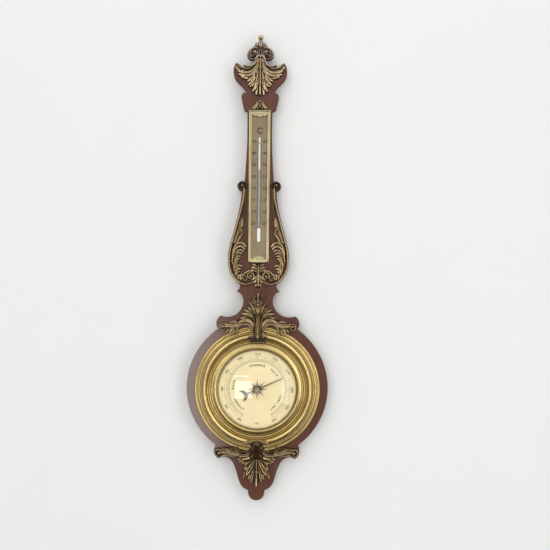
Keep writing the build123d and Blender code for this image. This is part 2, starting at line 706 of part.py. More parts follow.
def main_lever():
    """Long lever screwed to the spring's tip."""
    face_d = SPRING_D - SPRING_HALF_T
    back, face = depth(face_d - LEVER_T), depth(face_d)
    outer_x = LEVER_X + 2.5
    foot = block(-7, outer_x, back, face, DIAL_Z + 10, DIAL_Z + 14)
    arm = block(LEVER_X - 2, outer_x, back, face, DIAL_Z + LINK_Z - 2, DIAL_Z + 24)
    return foot + arm


def link_rod():
    """Wire link from the lever's tip through the rocker's short arm."""
    top = depth(SPRING_D - SPRING_HALF_T - LEVER_T)
    return rod(0.5, top, depth(3.2), LEVER_X, DIAL_Z + LINK_Z)


def rocker_shaft():
    """Cross shaft with a collar and its short slotted arm, which the link passes through."""
    y = depth(ROCKER_D)
    z = DIAL_Z + ROCKER_Z
    link_z = DIAL_Z + LINK_Z
    left, right = LEVER_X - 2.5, LEVER_X + 2.5
    shaft = cross_rod(ROCKER_R, -9.6, 18.6, y, z) + cross_rod(2.0, left, right, y, z)
    arm = block(left, right, y + 0.5, y - 0.5, link_z - 2.4, z)
    slot = block(LEVER_X - 1, LEVER_X + 1, y + 2, y - 2, link_z - 1.4, link_z + 1.4)
    return shaft + arm - slot


def rocker_arm():
    """Forked arm that takes the chain between its tines."""
    z = DIAL_Z + ROCKER_Z
    left, right = CHAIN_X - 2.2, CHAIN_X + 2.2
    half_gap = 0.35 + MOVING_GAP
    fork = block(left, right, depth(ROCKER_D + 1), depth(CHAIN_D + 1.4), z - 1, z + 1)
    fork += cross_rod(2.4, left, right, depth(ROCKER_D), z)
    fork -= block(CHAIN_X - half_gap, CHAIN_X + half_gap,
                  depth(CHAIN_D - 1.5), depth(CHAIN_D + 2), z - 2, z + 2)
    return fork - cross_rod(ROCKER_R, left - 2, right + 2, depth(ROCKER_D), z)


def pointer_arbor():
    """Slender arbor from the drum through the cock and the dial."""
    return rod(ARBOR_R, depth(CHAIN_D - 1.4), front(5.7))


def arbor_drum():
    """Small drum that the chain winds on."""
    drum = rod(DRUM_R, depth(CHAIN_D - 1), depth(CHAIN_D + 1))
    return drum - rod(ARBOR_R, depth(CHAIN_D - 2), depth(CHAIN_D + 2))


def hand_plane(height):
    """A plane across the dial's axis whose own X points along the hands at rest."""
    a = math.radians(HAND_ANGLE)
    return Plane(
        origin=(0, front(height), DIAL_Z), x_dir=(math.cos(a), 0, math.sin(a)), z_dir=(0, -1, 0)
    )


def hand_blade(tip, tip_half, hub_half, tail, tail_half):
    """A blade that tapers from the hub both ways."""
    upper = [(tail, tail_half, 0), (0, hub_half, 0), (tip, tip_half, 0)]
    lower = [(x, -half, 0) for x, half, _ in reversed(upper)]
    return closed_face(upper + lower)


def indicator_hand():
    """Blued hand with a long point and a crescent tail."""
    blade = hand_blade(47.5, 0.15, 1.1, -17.5, 0.9)
    crescent = Pos(-25.5, 0) * Circle(8.4) - Pos(-31, 0) * Circle(8.2)
    shape = blade + crescent + Circle(2.6) - Circle(ARBOR_R)
    return extrude(hand_plane(4.7) * shape, amount=0.6)


def set_hand():
    """Brass hand that is set by the knob."""
    blade = hand_blade(43, 0.3, 1.0, -9, 0.7)
    shape = blade + Circle(2.8) + Pos(-9, 0) * Circle(1.6) - Circle(SHAFT_R)
    return extrude(hand_plane(6.4) * shape, amount=0.6)


def set_hand_knob():
    """Knurled knob in front of the glass, with its shaft."""
    low = glass_height(2.6, True) + 0.9
    radius = 4.6
    grooves = 24
    knob = rod(radius, front(low), front(low + 4.6))
    knob += rod(3.4, front(low + 4.6), front(low + 5.4))
    for x, z in ring_spots(radius, [360 * i / grooves for i in range(grooves)]):
        knob -= rod(0.28, front(low + 0.6), front(low + 4), x, z)
    return knob + rod(SHAFT_R, front(6.2), front(low))


def calibration_screw():
    """Slotted screw behind the bridge, reached through the can's back."""
    z = DIAL_Z + ADJUSTER_Z
    low = CASE_FLOOR_Y + 0.1
    screw = rod(ADJUSTER_HEAD_R, low, CASE_BACK_Y - 0.1, 0, z)
    screw += rod(ADJUSTER_R, low, depth(BASE_T + 1), 0, z)
    slot = block(-ADJUSTER_HEAD_R, ADJUSTER_HEAD_R, CASE_BACK_Y, CASE_BACK_Y - 0.5, z - 0.35, z + 0.35)
    return screw - slot


# ---- Assembly -------------------------------------------------------------------------------
def build_nodes():
    """Every node by name; what a fastener passes through is bored to suit it."""
    mount_pins = pins(MOUNT_PIN_SPOTS, 1.3)
    frame_pins = pins(FRAME_PIN_SPOTS, 1.2)
    flange_screws = case_screws()
    base_screws = base_plate_screws()
    hanger = hanger_screws()
    bridge = bridge_screws()
    nodes = {
        "backboard": backboard() - finial_dowel() - mount_pins - frame_pins - flange_screws - hanger,
        "finial_dowel": finial_dowel(),
        "finial_carving": finial_carving(),
        "finial_ball": finial_ball(),
        "crest_leaf_mount": crest_leaf_mount() - mount_pins,
        "pediment_mount": pediment_mount() - mount_pins,
        "thermometer_frame": thermometer_frame() - frame_pins,
        "thermometer_scale_plate": thermometer_scale_plate() - frame_pins,
        "thermometer_tube": thermometer_tube(),
        "thermometer_liquid": thermometer_liquid(),
        "bulb_guard": bulb_guard(),
        "tube_clips": tube_clips(),
        "frame_pins": frame_pins,
        "side_mount_left": side_mount(-1) - mount_pins,
        "side_mount_right": side_mount(1) - mount_pins,
        "pear_bottom_mount": pear_bottom_mount() - mount_pins,
        "upper_dial_mount": upper_dial_mount() - mount_pins,
        "lower_dial_mount": lower_dial_mount() - mount_pins,
        "mount_pins": mount_pins,
        "outer_bezel_ring": outer_bezel_ring() - flange_screws,
        "sight_bezel": sight_bezel(),
        "dial_glass": dial_glass(),
        "glass_retainer": glass_retainer(),
        "glass_bush": glass_bush(),
        "dial_plate": dial_plate(),
        "movement_case": movement_case() - flange_screws - base_screws,
        "case_screws": flange_screws,
        "movement_base_plate": movement_base_plate() - base_screws - bridge,
        "base_plate_screws": base_screws,
        "capsule_lower": capsule_lower(),
        "capsule_upper": capsule_upper(),
        "spring_bridge": spring_bridge() - bridge,
        "bridge_screws": bridge,
        "rocker_bearings": rocker_bearings(),
        "arbor_cock": arbor_cock(),
        "cock_pillars": cock_pillars(),
        "hairspring": hairspring(),
        "hairspring_stud": hairspring_stud(),
        "chain": chain(),
        "main_spring": main_spring(),
        "capsule_post": capsule_post(),
        "main_lever": main_lever(),
        "link_rod": link_rod(),
        "rocker_shaft": rocker_shaft(),
        "rocker_arm": rocker_arm(),
        "pointer_arbor": pointer_arbor(),
        "arbor_drum": arbor_drum(),
        "indicator_hand": indicator_hand(),
        "set_hand": set_hand(),
        "set_hand_knob": set_hand_knob(),
        "calibration_screw": calibration_screw(),
        "hanger_plate": hanger_plate() - hanger,
        "hanger_screws": hanger,
        "wall_bumpers": wall_bumpers(),
    }
    return nodes


os.makedirs("parts", exist_ok=True)
for name, shape in build_nodes().items():
    export_step(shape, f"parts/{name}.step")
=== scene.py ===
import bmesh
import bpy
import json
import math
import numpy as np
from mathutils import Euler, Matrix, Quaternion, Vector

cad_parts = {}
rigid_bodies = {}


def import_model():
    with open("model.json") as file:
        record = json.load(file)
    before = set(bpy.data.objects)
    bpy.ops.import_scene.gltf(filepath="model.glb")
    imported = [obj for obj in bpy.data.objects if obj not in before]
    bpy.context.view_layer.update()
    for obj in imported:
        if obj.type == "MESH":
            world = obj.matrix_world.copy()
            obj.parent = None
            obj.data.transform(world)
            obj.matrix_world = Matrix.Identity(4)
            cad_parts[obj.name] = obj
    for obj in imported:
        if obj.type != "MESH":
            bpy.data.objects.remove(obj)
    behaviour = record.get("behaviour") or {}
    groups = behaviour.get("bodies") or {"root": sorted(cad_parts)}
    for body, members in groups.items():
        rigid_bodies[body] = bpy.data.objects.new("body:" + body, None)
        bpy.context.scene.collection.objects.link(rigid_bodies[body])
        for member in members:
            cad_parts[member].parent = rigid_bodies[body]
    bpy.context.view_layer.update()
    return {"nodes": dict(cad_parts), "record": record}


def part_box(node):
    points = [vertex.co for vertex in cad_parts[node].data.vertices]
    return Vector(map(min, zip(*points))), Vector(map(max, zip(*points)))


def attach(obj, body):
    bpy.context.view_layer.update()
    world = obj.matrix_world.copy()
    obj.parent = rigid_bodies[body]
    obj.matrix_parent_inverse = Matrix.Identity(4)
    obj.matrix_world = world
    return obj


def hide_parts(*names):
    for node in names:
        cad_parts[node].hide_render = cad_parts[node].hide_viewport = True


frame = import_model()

# ---- Places, read from the frame (metres) ---------------------------------------------------
MM = 0.001
BODY = "barometer_body"
BOARD_LOW, BOARD_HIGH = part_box("backboard")
DIAL_LOW, DIAL_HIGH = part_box("dial_plate")
FRONT_Y = BOARD_LOW[1]                                   # the board's front face
DIAL_Z = (DIAL_LOW[2] + DIAL_HIGH[2]) / 2
FOOT_Z = -176.8 * MM                                     # the board's foot in outline heights
PATTERN_Z = BOARD_LOW[2] - FOOT_Z                        # zero height of the mounts' outlines
DIAL_RISE = (DIAL_Z - PATTERN_Z) / MM                    # the dial's centre in outline heights
BOARD_MIDDLE = (BOARD_HIGH[1] - FRONT_Y) / 2 / MM        # from the front face to its middle plane, mm
SOFT_EDGE = 2.2 * MM                                     # rounding of the board's long edges


# ---- Small helpers --------------------------------------------------------------------------
def at(x, height, z):
    """A point in metres from millimetres: x, height above the board's face, outline height."""
    return (x * MM, FRONT_Y - height * MM, PATTERN_Z + z * MM)


def new_object(name, vertices, faces, material, slot, body=BODY, smooth=True):
    """A mesh object that rides on a body."""
    mesh = bpy.data.meshes.new(name)
    mesh.from_pydata([tuple(v) for v in vertices], [], [tuple(f) for f in faces])
    mesh.validate()
    mesh.update()
    if smooth:
        mesh.polygons.foreach_set("use_smooth", [True] * len(mesh.polygons))
    piece = bpy.data.objects.new(name, mesh)
    bpy.context.collection.objects.link(piece)
    mesh.materials.append(material)
    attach(piece, body)
    return piece


def crease(piece, degrees):
    """Edges sharper than this stay sharp under smooth shading."""
    piece.data.set_sharp_from_angle(angle=math.radians(degrees))


def smooth_line(points, count):
    """A Catmull-Rom line through the points, with equally many samples between each two."""
    p = np.array(points, float)
    p = np.vstack([2 * p[0] - p[1], p, 2 * p[-1] - p[-2]])
    spans = len(p) - 3
    out = []
    for s in np.linspace(0, spans, count):
        i = min(int(s), spans - 1)
        t = s - i
        a, b, c, d = p[i:i + 4]
        out.append(0.5 * (2 * b + (c - a) * t + (2 * a - 5 * b + 4 * c - d) * t**2
                          + (3 * b - a - 3 * c + d) * t**3))
    return np.array(out)


# ---- Node material helpers ------------------------------------------------------------------
def new_material(name):
    """An empty Principled material; returns it with its node tree and shader."""
    material = bpy.data.materials.new(name)
    material.use_nodes = True
    tree = material.node_tree
    return material, tree, tree.nodes["Principled BSDF"]


def node(tree, kind, **settings):
    """Add a node and set its inputs by name, or its own properties."""
    made = tree.nodes.new(kind)
    for key, value in settings.items():
        if key in made.inputs:
            made.inputs[key].default_value = value
        else:
            setattr(made, key, value)
    return made


def wire(start, output, end, entry):
    """Link one node's output to another node's input, each by its name or number."""
    start.id_data.links.new(start.outputs[output], end.inputs[entry])


def stretched_noise(tree, scale, detail=4.0):
    """Noise on object coordinates; its scale, per metre, is one number or one for each axis."""
    if isinstance(scale, float):
        scale = (scale, scale, scale)
    place = node(tree, "ShaderNodeTexCoord")
    mapping = node(tree, "ShaderNodeMapping", Scale=scale)
    noise = node(tree, "ShaderNodeTexNoise", Scale=1.0, Detail=detail, Roughness=0.55)
    wire(place, "Object", mapping, "Vector")
    wire(mapping, "Vector", noise, "Vector")
    return noise


def ramp(tree, source, stops):
    """A colour ramp with (position, colour) stops fed by a value."""
    made = node(tree, "ShaderNodeValToRGB")
    elements = made.color_ramp.elements
    while len(elements) < len(stops):
        elements.new(0.5)
    for element, (position, colour) in zip(elements, stops):
        element.position = position
        element.color = (*colour, 1.0)
    tree.links.new(source, made.inputs["Fac"])
    return made


def bump(tree, shader, source, strength, distance):
    """A bump from a value, on the shader's normal."""
    made = node(tree, "ShaderNodeBump", Strength=strength, Distance=distance)
    tree.links.new(source, made.inputs["Height"])
    wire(made, "Normal", shader, "Normal")


def grey(value):
    """A grey colour."""
    return (value, value, value)


def drive(tree, source, shader, entry, result, span=(0.0, 1.0)):
    """Set a shader's input by a value, which goes from end to end of the result over its span."""
    made = node(tree, "ShaderNodeMapRange")
    for key, number in zip(("From Min", "From Max", "To Min", "To Max"), (*span, *result)):
        made.inputs[key].default_value = number
    tree.links.new(source, made.inputs["Value"])
    wire(made, "Result", shader, entry)
    return made.outputs["Result"]


def colour_by(tree, source, shader, stops):
    """Colour a shader by a ramp over a value."""
    wire(ramp(tree, source, stops), "Color", shader, "Base Color")


def blend_shaders(tree, source, first, second, output):
    """Show the first shader where the value is 0 and the second where it is 1."""
    mix = node(tree, "ShaderNodeMixShader")
    tree.links.new(source, mix.inputs["Fac"])
    wire(first, 0, mix, 1)
    wire(second, 0, mix, 2)
    wire(mix, "Shader", tree.nodes[output], "Surface")


# ---- Materials ------------------------------------------------------------------------------
def mahogany_material():
    """Red-brown wood, its grain along Z; lacquered on its faces and dull on its sawn edges."""
    material, tree, shader = new_material("mahogany_lacquer")
    broad = stretched_noise(tree, (38.0, 38.0, 3.2), 5.0)
    fine = stretched_noise(tree, (520.0, 520.0, 16.0), 3.0)
    colour = ramp(tree, broad.outputs["Fac"], [
        (0.28, (0.098, 0.031, 0.017)), (0.50, (0.114, 0.038, 0.021)), (0.72, (0.132, 0.046, 0.025)),
    ])
    pores = ramp(tree, fine.outputs["Fac"], [(0.40, grey(0.78)), (0.56, grey(1.0))])
    mix = node(tree, "ShaderNodeMixRGB", blend_type="MULTIPLY", Fac=0.55)
    wire(colour, "Color", mix, "Color1")
    wire(pores, "Color", mix, "Color2")
    wire(mix, "Color", shader, "Base Color")
    bump(tree, shader, fine.outputs["Fac"], 0.05, 0.0002)
    place = node(tree, "ShaderNodeTexCoord")
    parts = node(tree, "ShaderNodeSeparateXYZ")
    wire(place, "Normal", parts, "Vector")
    facing = node(tree, "ShaderNodeMath", operation="ABSOLUTE")
    wire(parts, "Y", facing, 0)
    lacquer = drive(tree, facing.outputs["Value"], shader, "Coat Weight", (0.0, 1.0), (0.45, 0.95))
    drive(tree, lacquer, shader, "Roughness", (0.9, 0.36))
    shader.inputs["Specular IOR Level"].default_value = 0.15
    shader.inputs["Coat Roughness"].default_value = 0.12
    return material


def gilt_material(name, gold, mid, dark):
    """Aged gilt brass: gold on what stands out, brown patina and painted shade in what lies deep."""
    material, tree, shader = new_material(name)
    depth = node(tree, "ShaderNodeAttribute", attribute_name="hollow")
    spots = stretched_noise(tree, 420.0)
    shift = node(tree, "ShaderNodeMath", operation="MULTIPLY_ADD")
    shift.inputs[1].default_value = 0.36
    wire(spots, "Fac", shift, 0)
    wire(depth, "Fac", shift, 2)
    patina_and_shade = shift.outputs["Value"]
    colour_by(tree, patina_and_shade, shader, [(0.31, gold), (0.50, mid), (0.74, dark)])
    drive(tree, patina_and_shade, shader, "Roughness", (0.26, 0.62), (0.3, 0.9))
    drive(tree, patina_and_shade, shader, "Metallic", (1.0, 0.25), (0.45, 0.95))
    pits = stretched_noise(tree, 1500.0, 3.0)
    bump(tree, shader, pits.outputs["Fac"], 0.18, 0.0002)
    return material


def brass_material(name, light, deep, rough_low, rough_high, grain):
    """Polished or satin metal with faint marks; grain is their scale, as for stretched_noise."""
    material, tree, shader = new_material(name)
    cloud = stretched_noise(tree, 26.0)
    marks = stretched_noise(tree, grain)
    colour_by(tree, cloud.outputs["Fac"], shader, [(0.34, deep), (0.66, light)])
    drive(tree, marks.outputs["Fac"], shader, "Roughness", (rough_low, rough_high))
    bump(tree, shader, marks.outputs["Fac"], 0.06, 0.0001)
    shader.inputs["Metallic"].default_value = 1.0
    return material


def spun_brass_material(name, light, deep, residue_and_shade, rough_low, rough_high):
    """Lacquered spun brass, brown in its grooves: residue of old polish and painted shade."""
    material, tree, shader = new_material(name)
    cloud = stretched_noise(tree, 26.0)
    tone = ramp(tree, cloud.outputs["Fac"], [(0.34, deep), (0.66, light)])
    depth = node(tree, "ShaderNodeAttribute", attribute_name="hollow")
    stain = node(tree, "ShaderNodeMixRGB", Color2=(*residue_and_shade, 1.0))
    wire(depth, "Fac", stain, "Fac")
    wire(tone, "Color", stain, "Color1")
    wire(stain, "Color", shader, "Base Color")
    marks = stretched_noise(tree, 60.0)
    drive(tree, marks.outputs["Fac"], shader, "Roughness", (rough_low, rough_high))
    shader.inputs["Metallic"].default_value = 1.0
    return material


def plain_material(name, light, deep, roughness, metallic=0.0, scale=120.0, strength=0.05):
    """A paint, plastic or metal with a slight procedural mottle."""
    material, tree, shader = new_material(name)
    mottle = stretched_noise(tree, scale)
    colour_by(tree, mottle.outputs["Fac"], shader, [(0.35, deep), (0.65, light)])
    drive(tree, mottle.outputs["Fac"], shader, "Roughness", (roughness * 0.85, roughness * 1.15))
    bump(tree, shader, mottle.outputs["Fac"], strength, 0.0002)
    shader.inputs["Metallic"].default_value = metallic
    return material


def glass_material(name, tint_low, tint_high):
    """Clear glass with the faintest cloudiness of old polish; it throws no shadow."""
    material, tree, shader = new_material(name)
    film = stretched_noise(tree, 60.0, 3.0)
    colour_by(tree, film.outputs["Fac"], shader, [(0.3, tint_low), (0.7, tint_high)])
    drive(tree, film.outputs["Fac"], shader, "Roughness", (0.0, 0.02))
    shader.inputs["Transmission Weight"].default_value = 1.0
    shader.inputs["IOR"].default_value = 1.45
    path = node(tree, "ShaderNodeLightPath")
    clear = node(tree, "ShaderNodeBsdfTransparent")
    blend_shaders(tree, path.outputs["Is Shadow Ray"], shader, clear, "Material Output")
    return material


# Gilt: its material's name, then its colours where it stands out, between, and deep down, the last patina
# and painted shade.
GILTS = {
    "gilt_casting": ("aged_gilt", (0.70, 0.53, 0.33), (0.25, 0.175, 0.09), (0.036, 0.021, 0.012)),
    "gilt_brown": ("aged_gilt_brown", (0.53, 0.385, 0.215), (0.155, 0.104, 0.044), (0.026, 0.015, 0.009)),
    "gilt_finial": ("aged_gilt_dark", (0.48, 0.34, 0.26), (0.15, 0.095, 0.078), (0.036, 0.021, 0.018)),
}
# Brass and steel: light and deep colour, least and most roughness, scale of the grain.
METALS = {
    "ball_brass": ((0.62, 0.49, 0.25), (0.52, 0.40, 0.19), 0.16, 0.24, 300.0),
    "frame_brass": ((0.88, 0.80, 0.54), (0.78, 0.68, 0.42), 0.26, 0.36, (700.0, 700.0, 12.0)),
    "pin_brass": ((0.60, 0.46, 0.22), (0.42, 0.31, 0.14), 0.28, 0.42, 400.0),
    "knob_brass": ((0.42, 0.33, 0.21), (0.30, 0.23, 0.14), 0.18, 0.28, 500.0),
    "movement_brass": ((0.72, 0.58, 0.30), (0.60, 0.47, 0.22), 0.26, 0.4, (90.0, 900.0, 90.0)),
    "set_hand_brass": ((0.13, 0.10, 0.055), (0.08, 0.06, 0.035), 0.3, 0.4, 900.0),
    "capsule_alloy": ((0.74, 0.66, 0.46), (0.62, 0.54, 0.36), 0.24, 0.36, 200.0),
    "case_steel": ((0.62, 0.62, 0.60), (0.50, 0.50, 0.49), 0.28, 0.42, (40.0, 700.0, 40.0)),
    "spring_steel": ((0.40, 0.42, 0.48), (0.28, 0.30, 0.36), 0.22, 0.34, (600.0, 600.0, 60.0)),
    "screw_steel": ((0.55, 0.55, 0.56), (0.40, 0.40, 0.42), 0.28, 0.42, 700.0),
    "hanger_steel": ((0.60, 0.60, 0.60), (0.46, 0.46, 0.46), 0.30, 0.46, (500.0, 500.0, 30.0)),
    "scale_bronze": ((0.42, 0.34, 0.235), (0.36, 0.29, 0.19), 0.42, 0.56, (900.0, 900.0, 14.0)),
}
# The rest: light and deep colour, roughness, metal, scale of the mottle, strength of its bump.
PLAIN = {
    # The lip's near-white colour is a painted highlight.
    "lip_painted_highlight": ((0.95, 0.84, 0.78), (0.82, 0.68, 0.60), 0.30, 0.55, 600.0),
    "dial_enamel": ((0.90, 0.755, 0.445), (0.87, 0.72, 0.415), 0.42, 0.0, 45.0, 0.02),
    "dark_hand": ((0.045, 0.035, 0.028), (0.025, 0.02, 0.018), 0.35, 0.6, 600.0),
    "print_ink": ((0.10, 0.083, 0.045), (0.07, 0.058, 0.03), 0.6, 0.0, 900.0, 0.02),
    "scale_ink": ((0.035, 0.028, 0.02), (0.025, 0.02, 0.015), 0.6, 0.0, 900.0, 0.02),
    "degree_ink": ((0.060, 0.045, 0.035), (0.040, 0.030, 0.024), 0.6, 0.0, 900.0, 0.02),
    "liquid_grey": ((0.42, 0.43, 0.46), (0.34, 0.35, 0.38), 0.15, 0.1, 200.0),
    "white_guard": ((0.92, 0.91, 0.88), (0.86, 0.85, 0.81), 0.35, 0.0, 300.0),
    "bumper_rubber": ((0.035, 0.032, 0.03), (0.02, 0.018, 0.017), 0.7, 0.0, 500.0, 0.3),
    "dowel_wood": ((0.42, 0.28, 0.15), (0.32, 0.2, 0.1), 0.6, 0.0, 260.0, 0.2),
    "tube_glass": ((0.86, 0.84, 0.84), (0.78, 0.77, 0.78), 0.12, 0.0, 150.0, 0.02),
}
MATERIALS = {
    "mahogany": mahogany_material(),
    # Its third colour is the groove brown: residue and painted shade.
    "polished_brass": spun_brass_material(
        "polished_brass", (0.74, 0.58, 0.27), (0.66, 0.50, 0.21), (0.17, 0.11, 0.035), 0.22, 0.27),
    "dial_glass": glass_material("dial_glass", (0.97, 0.985, 0.97), (1.0, 1.0, 1.0)),
    **{slot: gilt_material(*looks) for slot, looks in GILTS.items()},
    **{slot: brass_material(slot, *looks) for slot, looks in METALS.items()},
    **{slot: plain_material(slot, *looks) for slot, looks in PLAIN.items()},
}


def dress_frame():
    """Give every CAD node the material of its slot."""
    for part in frame["record"]["subparts"]:
        shown = frame["nodes"][part["node"]]
        for target in [shown] + list(shown.children):
            if target.type != "MESH":
                continue
            if not target.material_slots:
                target.data.materials.append(MATERIALS[part["material_slot"]])
            for place in target.material_slots:
                place.material = MATERIALS[part["material_slot"]]


def round_board():
    """Soften the board's long edges; the CAD board itself is square-edged."""
    board = frame["nodes"]["backboard"]
    for target in [board] + list(board.children):
        if target.type != "MESH":
            continue
        soft = target.modifiers.new("soft_edges", "BEVEL")
        soft.width = SOFT_EDGE
        soft.segments = 4
        soft.limit_method = "ANGLE"
        soft.angle_limit = math.radians(50)
        soft.use_clamp_overlap = True


dress_frame()
round_board()


# ---- Relief: cast mounts as height fields ---------------------------------------------------
GRID = 0.36                # spacing of the height field, mm
EDGE = 1.1                 # thickness of a casting at its edge, mm
SEAT_R = 1.9               # radius of the flat boss under a pin's head, mm
FLOOR = 2.2                # metal left under the deepest part of a groove, mm
LEAST = 0.15               # thinnest metal that is meshed, mm
CREASE = 52                # edges of a casting sharper than this stay sharp, degrees


def ring_top(radius):
    """Height of the castings' underside over the ring, at a distance from the dial's centre, mm.
    It follows the ring of the CAD part, roughly, and not RING_PROFILE."""
    line = np.array([(74.2, 7.8), (75.5, 9.8), (77.0, 9.8), (79.6, 7.9), (81.8, 8.4), (83.2, 10.8),
                     (85.6, 12.7), (87.8, 10.6), (89.2, 6.6), (89.6, 5.4), (91.4, 5.0), (93.0, 5.9),
                     (94.6, 4.4), (95.2, 2.6), (98.4, 2.0), (99.3, 2.9), (100.2, 2.0), (100.6, 0.0)])
    return np.interp(radius, line[:, 0], line[:, 1], left=0.0, right=0.0)


def box_blur(field, cells):
    """Mean over a square window, three times over."""
    out = field
    for _ in range(3):
        for axis in (0, 1):
            pad = [(0, 0), (0, 0)]
            pad[axis] = (cells + 1, cells)
            total = np.cumsum(np.pad(out, pad, mode="edge"), axis=axis)
            ahead = np.take(total, range(2 * cells + 1, total.shape[axis]), axis=axis)
            behind = np.take(total, range(0, total.shape[axis] - 2 * cells - 1), axis=axis)
            out = (ahead - behind) / (2 * cells + 1)
    return out


class Relief:
    """A casting's right half as heights over a grid of outline coordinates (x, z), in mm."""

    def __init__(self, width, low, high, over_ring=False, left=0.0):
        self.x = np.arange(left, width + GRID, GRID)
        self.z = np.arange(low, high + GRID, GRID)
        self.gx, self.gz = np.meshgrid(self.x, self.z)
        self.top = np.zeros_like(self.gx)
        self.field = np.full_like(self.gx, -5.0)
        self.bottom = np.zeros_like(self.gx)
        # The stain per point darkens what it covers: patina, and painted shade on the dark grounds and
        # plates under and between the leaves; below 0 it gives brighter gold.
        self.stain = np.zeros_like(self.gx)
        if over_ring:
            self.bottom = ring_top(np.hypot(self.gx, self.gz - DIAL_RISE))

    def add(self, field, height, area, stain=0.0):
        """Lay a shape on: where it is inside (field > 0) the highest surface wins."""
        old = self.top[area]
        wins = (field > 0) & (height > old)
        self.stain[area] = np.where(wins, stain, self.stain[area])
        self.top[area] = np.where(wins, height, old)
        self.field[area] = np.maximum(self.field[area], field)

    def leaf(self, points, widths, heights, dish=0.0, flutes=0, round_power=0.5, stain=0.0):
        """A stroke along a line of points, with half widths and heights from root to tip.
        dish hollows its middle, and flutes adds ridges along it."""
        line = smooth_line(points, 12 * len(points))
        reach = max(widths)
        area = self.window(line[:, 0].min() - reach, line[:, 0].max() + reach,
                           line[:, 1].min() - reach, line[:, 1].max() + reach)
        px, pz = self.gx[area], self.gz[area]
        best = np.full(px.shape, 1e9)
        along = np.zeros(px.shape)
        spans = len(line) - 1
        for i in range(spans):
            ax, az = line[i]
            dx, dz = line[i + 1] - line[i]
            share = np.clip(((px - ax) * dx + (pz - az) * dz) / (dx * dx + dz * dz + 1e-12), 0, 1)
            gap = np.hypot(px - ax - share * dx, pz - az - share * dz)
            nearer = gap < best
            best = np.where(nearer, gap, best)
            along = np.where(nearer, (i + share) / spans, along)
        width = np.interp(along, np.linspace(0, 1, len(widths)), widths)
        height = np.interp(along, np.linspace(0, 1, len(heights)), heights)
        across = np.clip(best / width, 0, 1)
        section = (1 - across**2) ** round_power
        section = section * (1 - dish * np.exp(-(across / 0.5) ** 2))
        if flutes:
            section = section * (1 + 0.10 * np.cos(2 * math.pi * flutes * across))
        self.add(width - best, EDGE + (height - EDGE) * section, area, stain)

    def fan(self, first, last, count, widths, heights, dish=0.0, stain=0.0):
        """Strokes spread evenly between two lines, none quite like its neighbour."""
        for k in range(count):
            share = k / (count - 1)
            reach = 1 - 0.07 * math.sin(2.6 * k + 0.8)
            line = np.array(first) * (1 - share) + np.array(last) * share
            line = line[0] + (line - line[0]) * reach
            line[1:-1] += 0.5 * math.sin(2.1 * k + 1.0)
            lift = 1 + 0.09 * math.sin(1.9 * k)
            thick = 1 + 0.14 * math.sin(1.3 * k + 0.6)
            self.leaf(line, [w * thick for w in widths], [h * lift for h in heights], dish, stain=stain)

    def around(self, x, z, reach):
        """The part of the grid about a place, and each point's distance from the place."""
        area = self.window(x - reach, x + reach, z - reach, z + reach)
        return area, np.hypot(self.gx[area] - x, self.gz[area] - z)

    def seat(self, x, z, height):
        """A small flat boss that a pin's head rests on."""
        area, gap = self.around(x, z, 2)
        self.top[area] = np.where(gap < SEAT_R, height, self.top[area])
        self.field[area] = np.maximum(self.field[area], SEAT_R - gap)

    def groove(self, points, width, depth):
        """A dark hollow let into what is there."""
        for x, z in smooth_line(points, 12):
            area, gap = self.around(x, z, width)
            well = np.clip(1 - (gap / width) ** 2, 0, 1) * depth
            floor = self.bottom[area] + FLOOR + (1 - well / depth) * 5
            self.top[area] = np.where(well > 0, np.minimum(self.top[area], floor), self.top[area])

    def pearl(self, x, z, radius, height, stain=0.0):
        """A round dome."""
        area, gap = self.around(x, z, radius)
        dome = np.sqrt(np.clip(1 - (gap / radius) ** 2, 0, 1))
        self.add(radius - gap, EDGE + (height - EDGE) * dome, area, stain)

    def volute(self, x, z, radius, turns, start, width, height, stain=0.0):
        """A scroll that winds in from its rim to a pearl, over a low ground; start is the rim's
        angle in degrees, and negative turns wind clockwise."""
        steps = max(6, int(abs(turns) * 10))
        inward, eye, ground = 0.72, 0.36, 0.35     # shares of the radius, the radius and the height
        points = []
        for i in range(steps + 1):
            share = i / steps
            angle = math.radians(start) + 2 * math.pi * turns * share
            reach = radius * (1 - inward * share)
            points.append((x + reach * math.cos(angle), z + reach * math.sin(angle)))
        self.leaf(points, [width, 0.85 * width, 0.6 * width], [0.7 * height, 0.85 * height, height],
                  stain=stain)
        self.pearl(x, z, eye * radius, height, stain)
        area, gap = self.around(x, z, radius)
        # The low ground inside the scroll is stained dark: patina and painted shade.
        self.add(radius - gap, np.full(gap.shape, ground * height), area, 0.3)

    def plate(self, points, height, stain=0.0):
        """A flat ground bounded by straight sides through the points, in order round it;
        a side on the middle line is pushed past it, as the other half meets it there."""
        corners = np.array([(x if x > 0 else -3.0, z) for x, z in points], float)
        area = self.window(corners[:, 0].min(), corners[:, 0].max(),
                           corners[:, 1].min(), corners[:, 1].max())
        px, pz = self.gx[area], self.gz[area]
        best = np.full(px.shape, 1e9)
        inside = np.zeros(px.shape, bool)
        for (ax, az), (bx, bz) in zip(corners, np.roll(corners, -1, axis=0)):
            dx, dz = bx - ax, bz - az
            share = np.clip(((px - ax) * dx + (pz - az) * dz) / (dx * dx + dz * dz), 0, 1)
            best = np.minimum(best, np.hypot(px - ax - share * dx, pz - az - share * dz))
            crosses = (az > pz) != (bz > pz)
            with np.errstate(divide="ignore", invalid="ignore"):
                inside ^= crosses & (px < ax + (pz - az) * dx / dz)
        self.add(np.where(inside, best, -best), np.full(px.shape, height), area, stain)

    def window(self, x0, x1, z0, z1):
        """The part of the grid inside a rectangle, a cell wider all round."""
        columns = np.searchsorted(self.x, [x0 - GRID, x1 + GRID])
        rows = np.searchsorted(self.z, [z0 - GRID, z1 + GRID])
        return slice(rows[0], rows[1] + 1), slice(columns[0], columns[1] + 1)

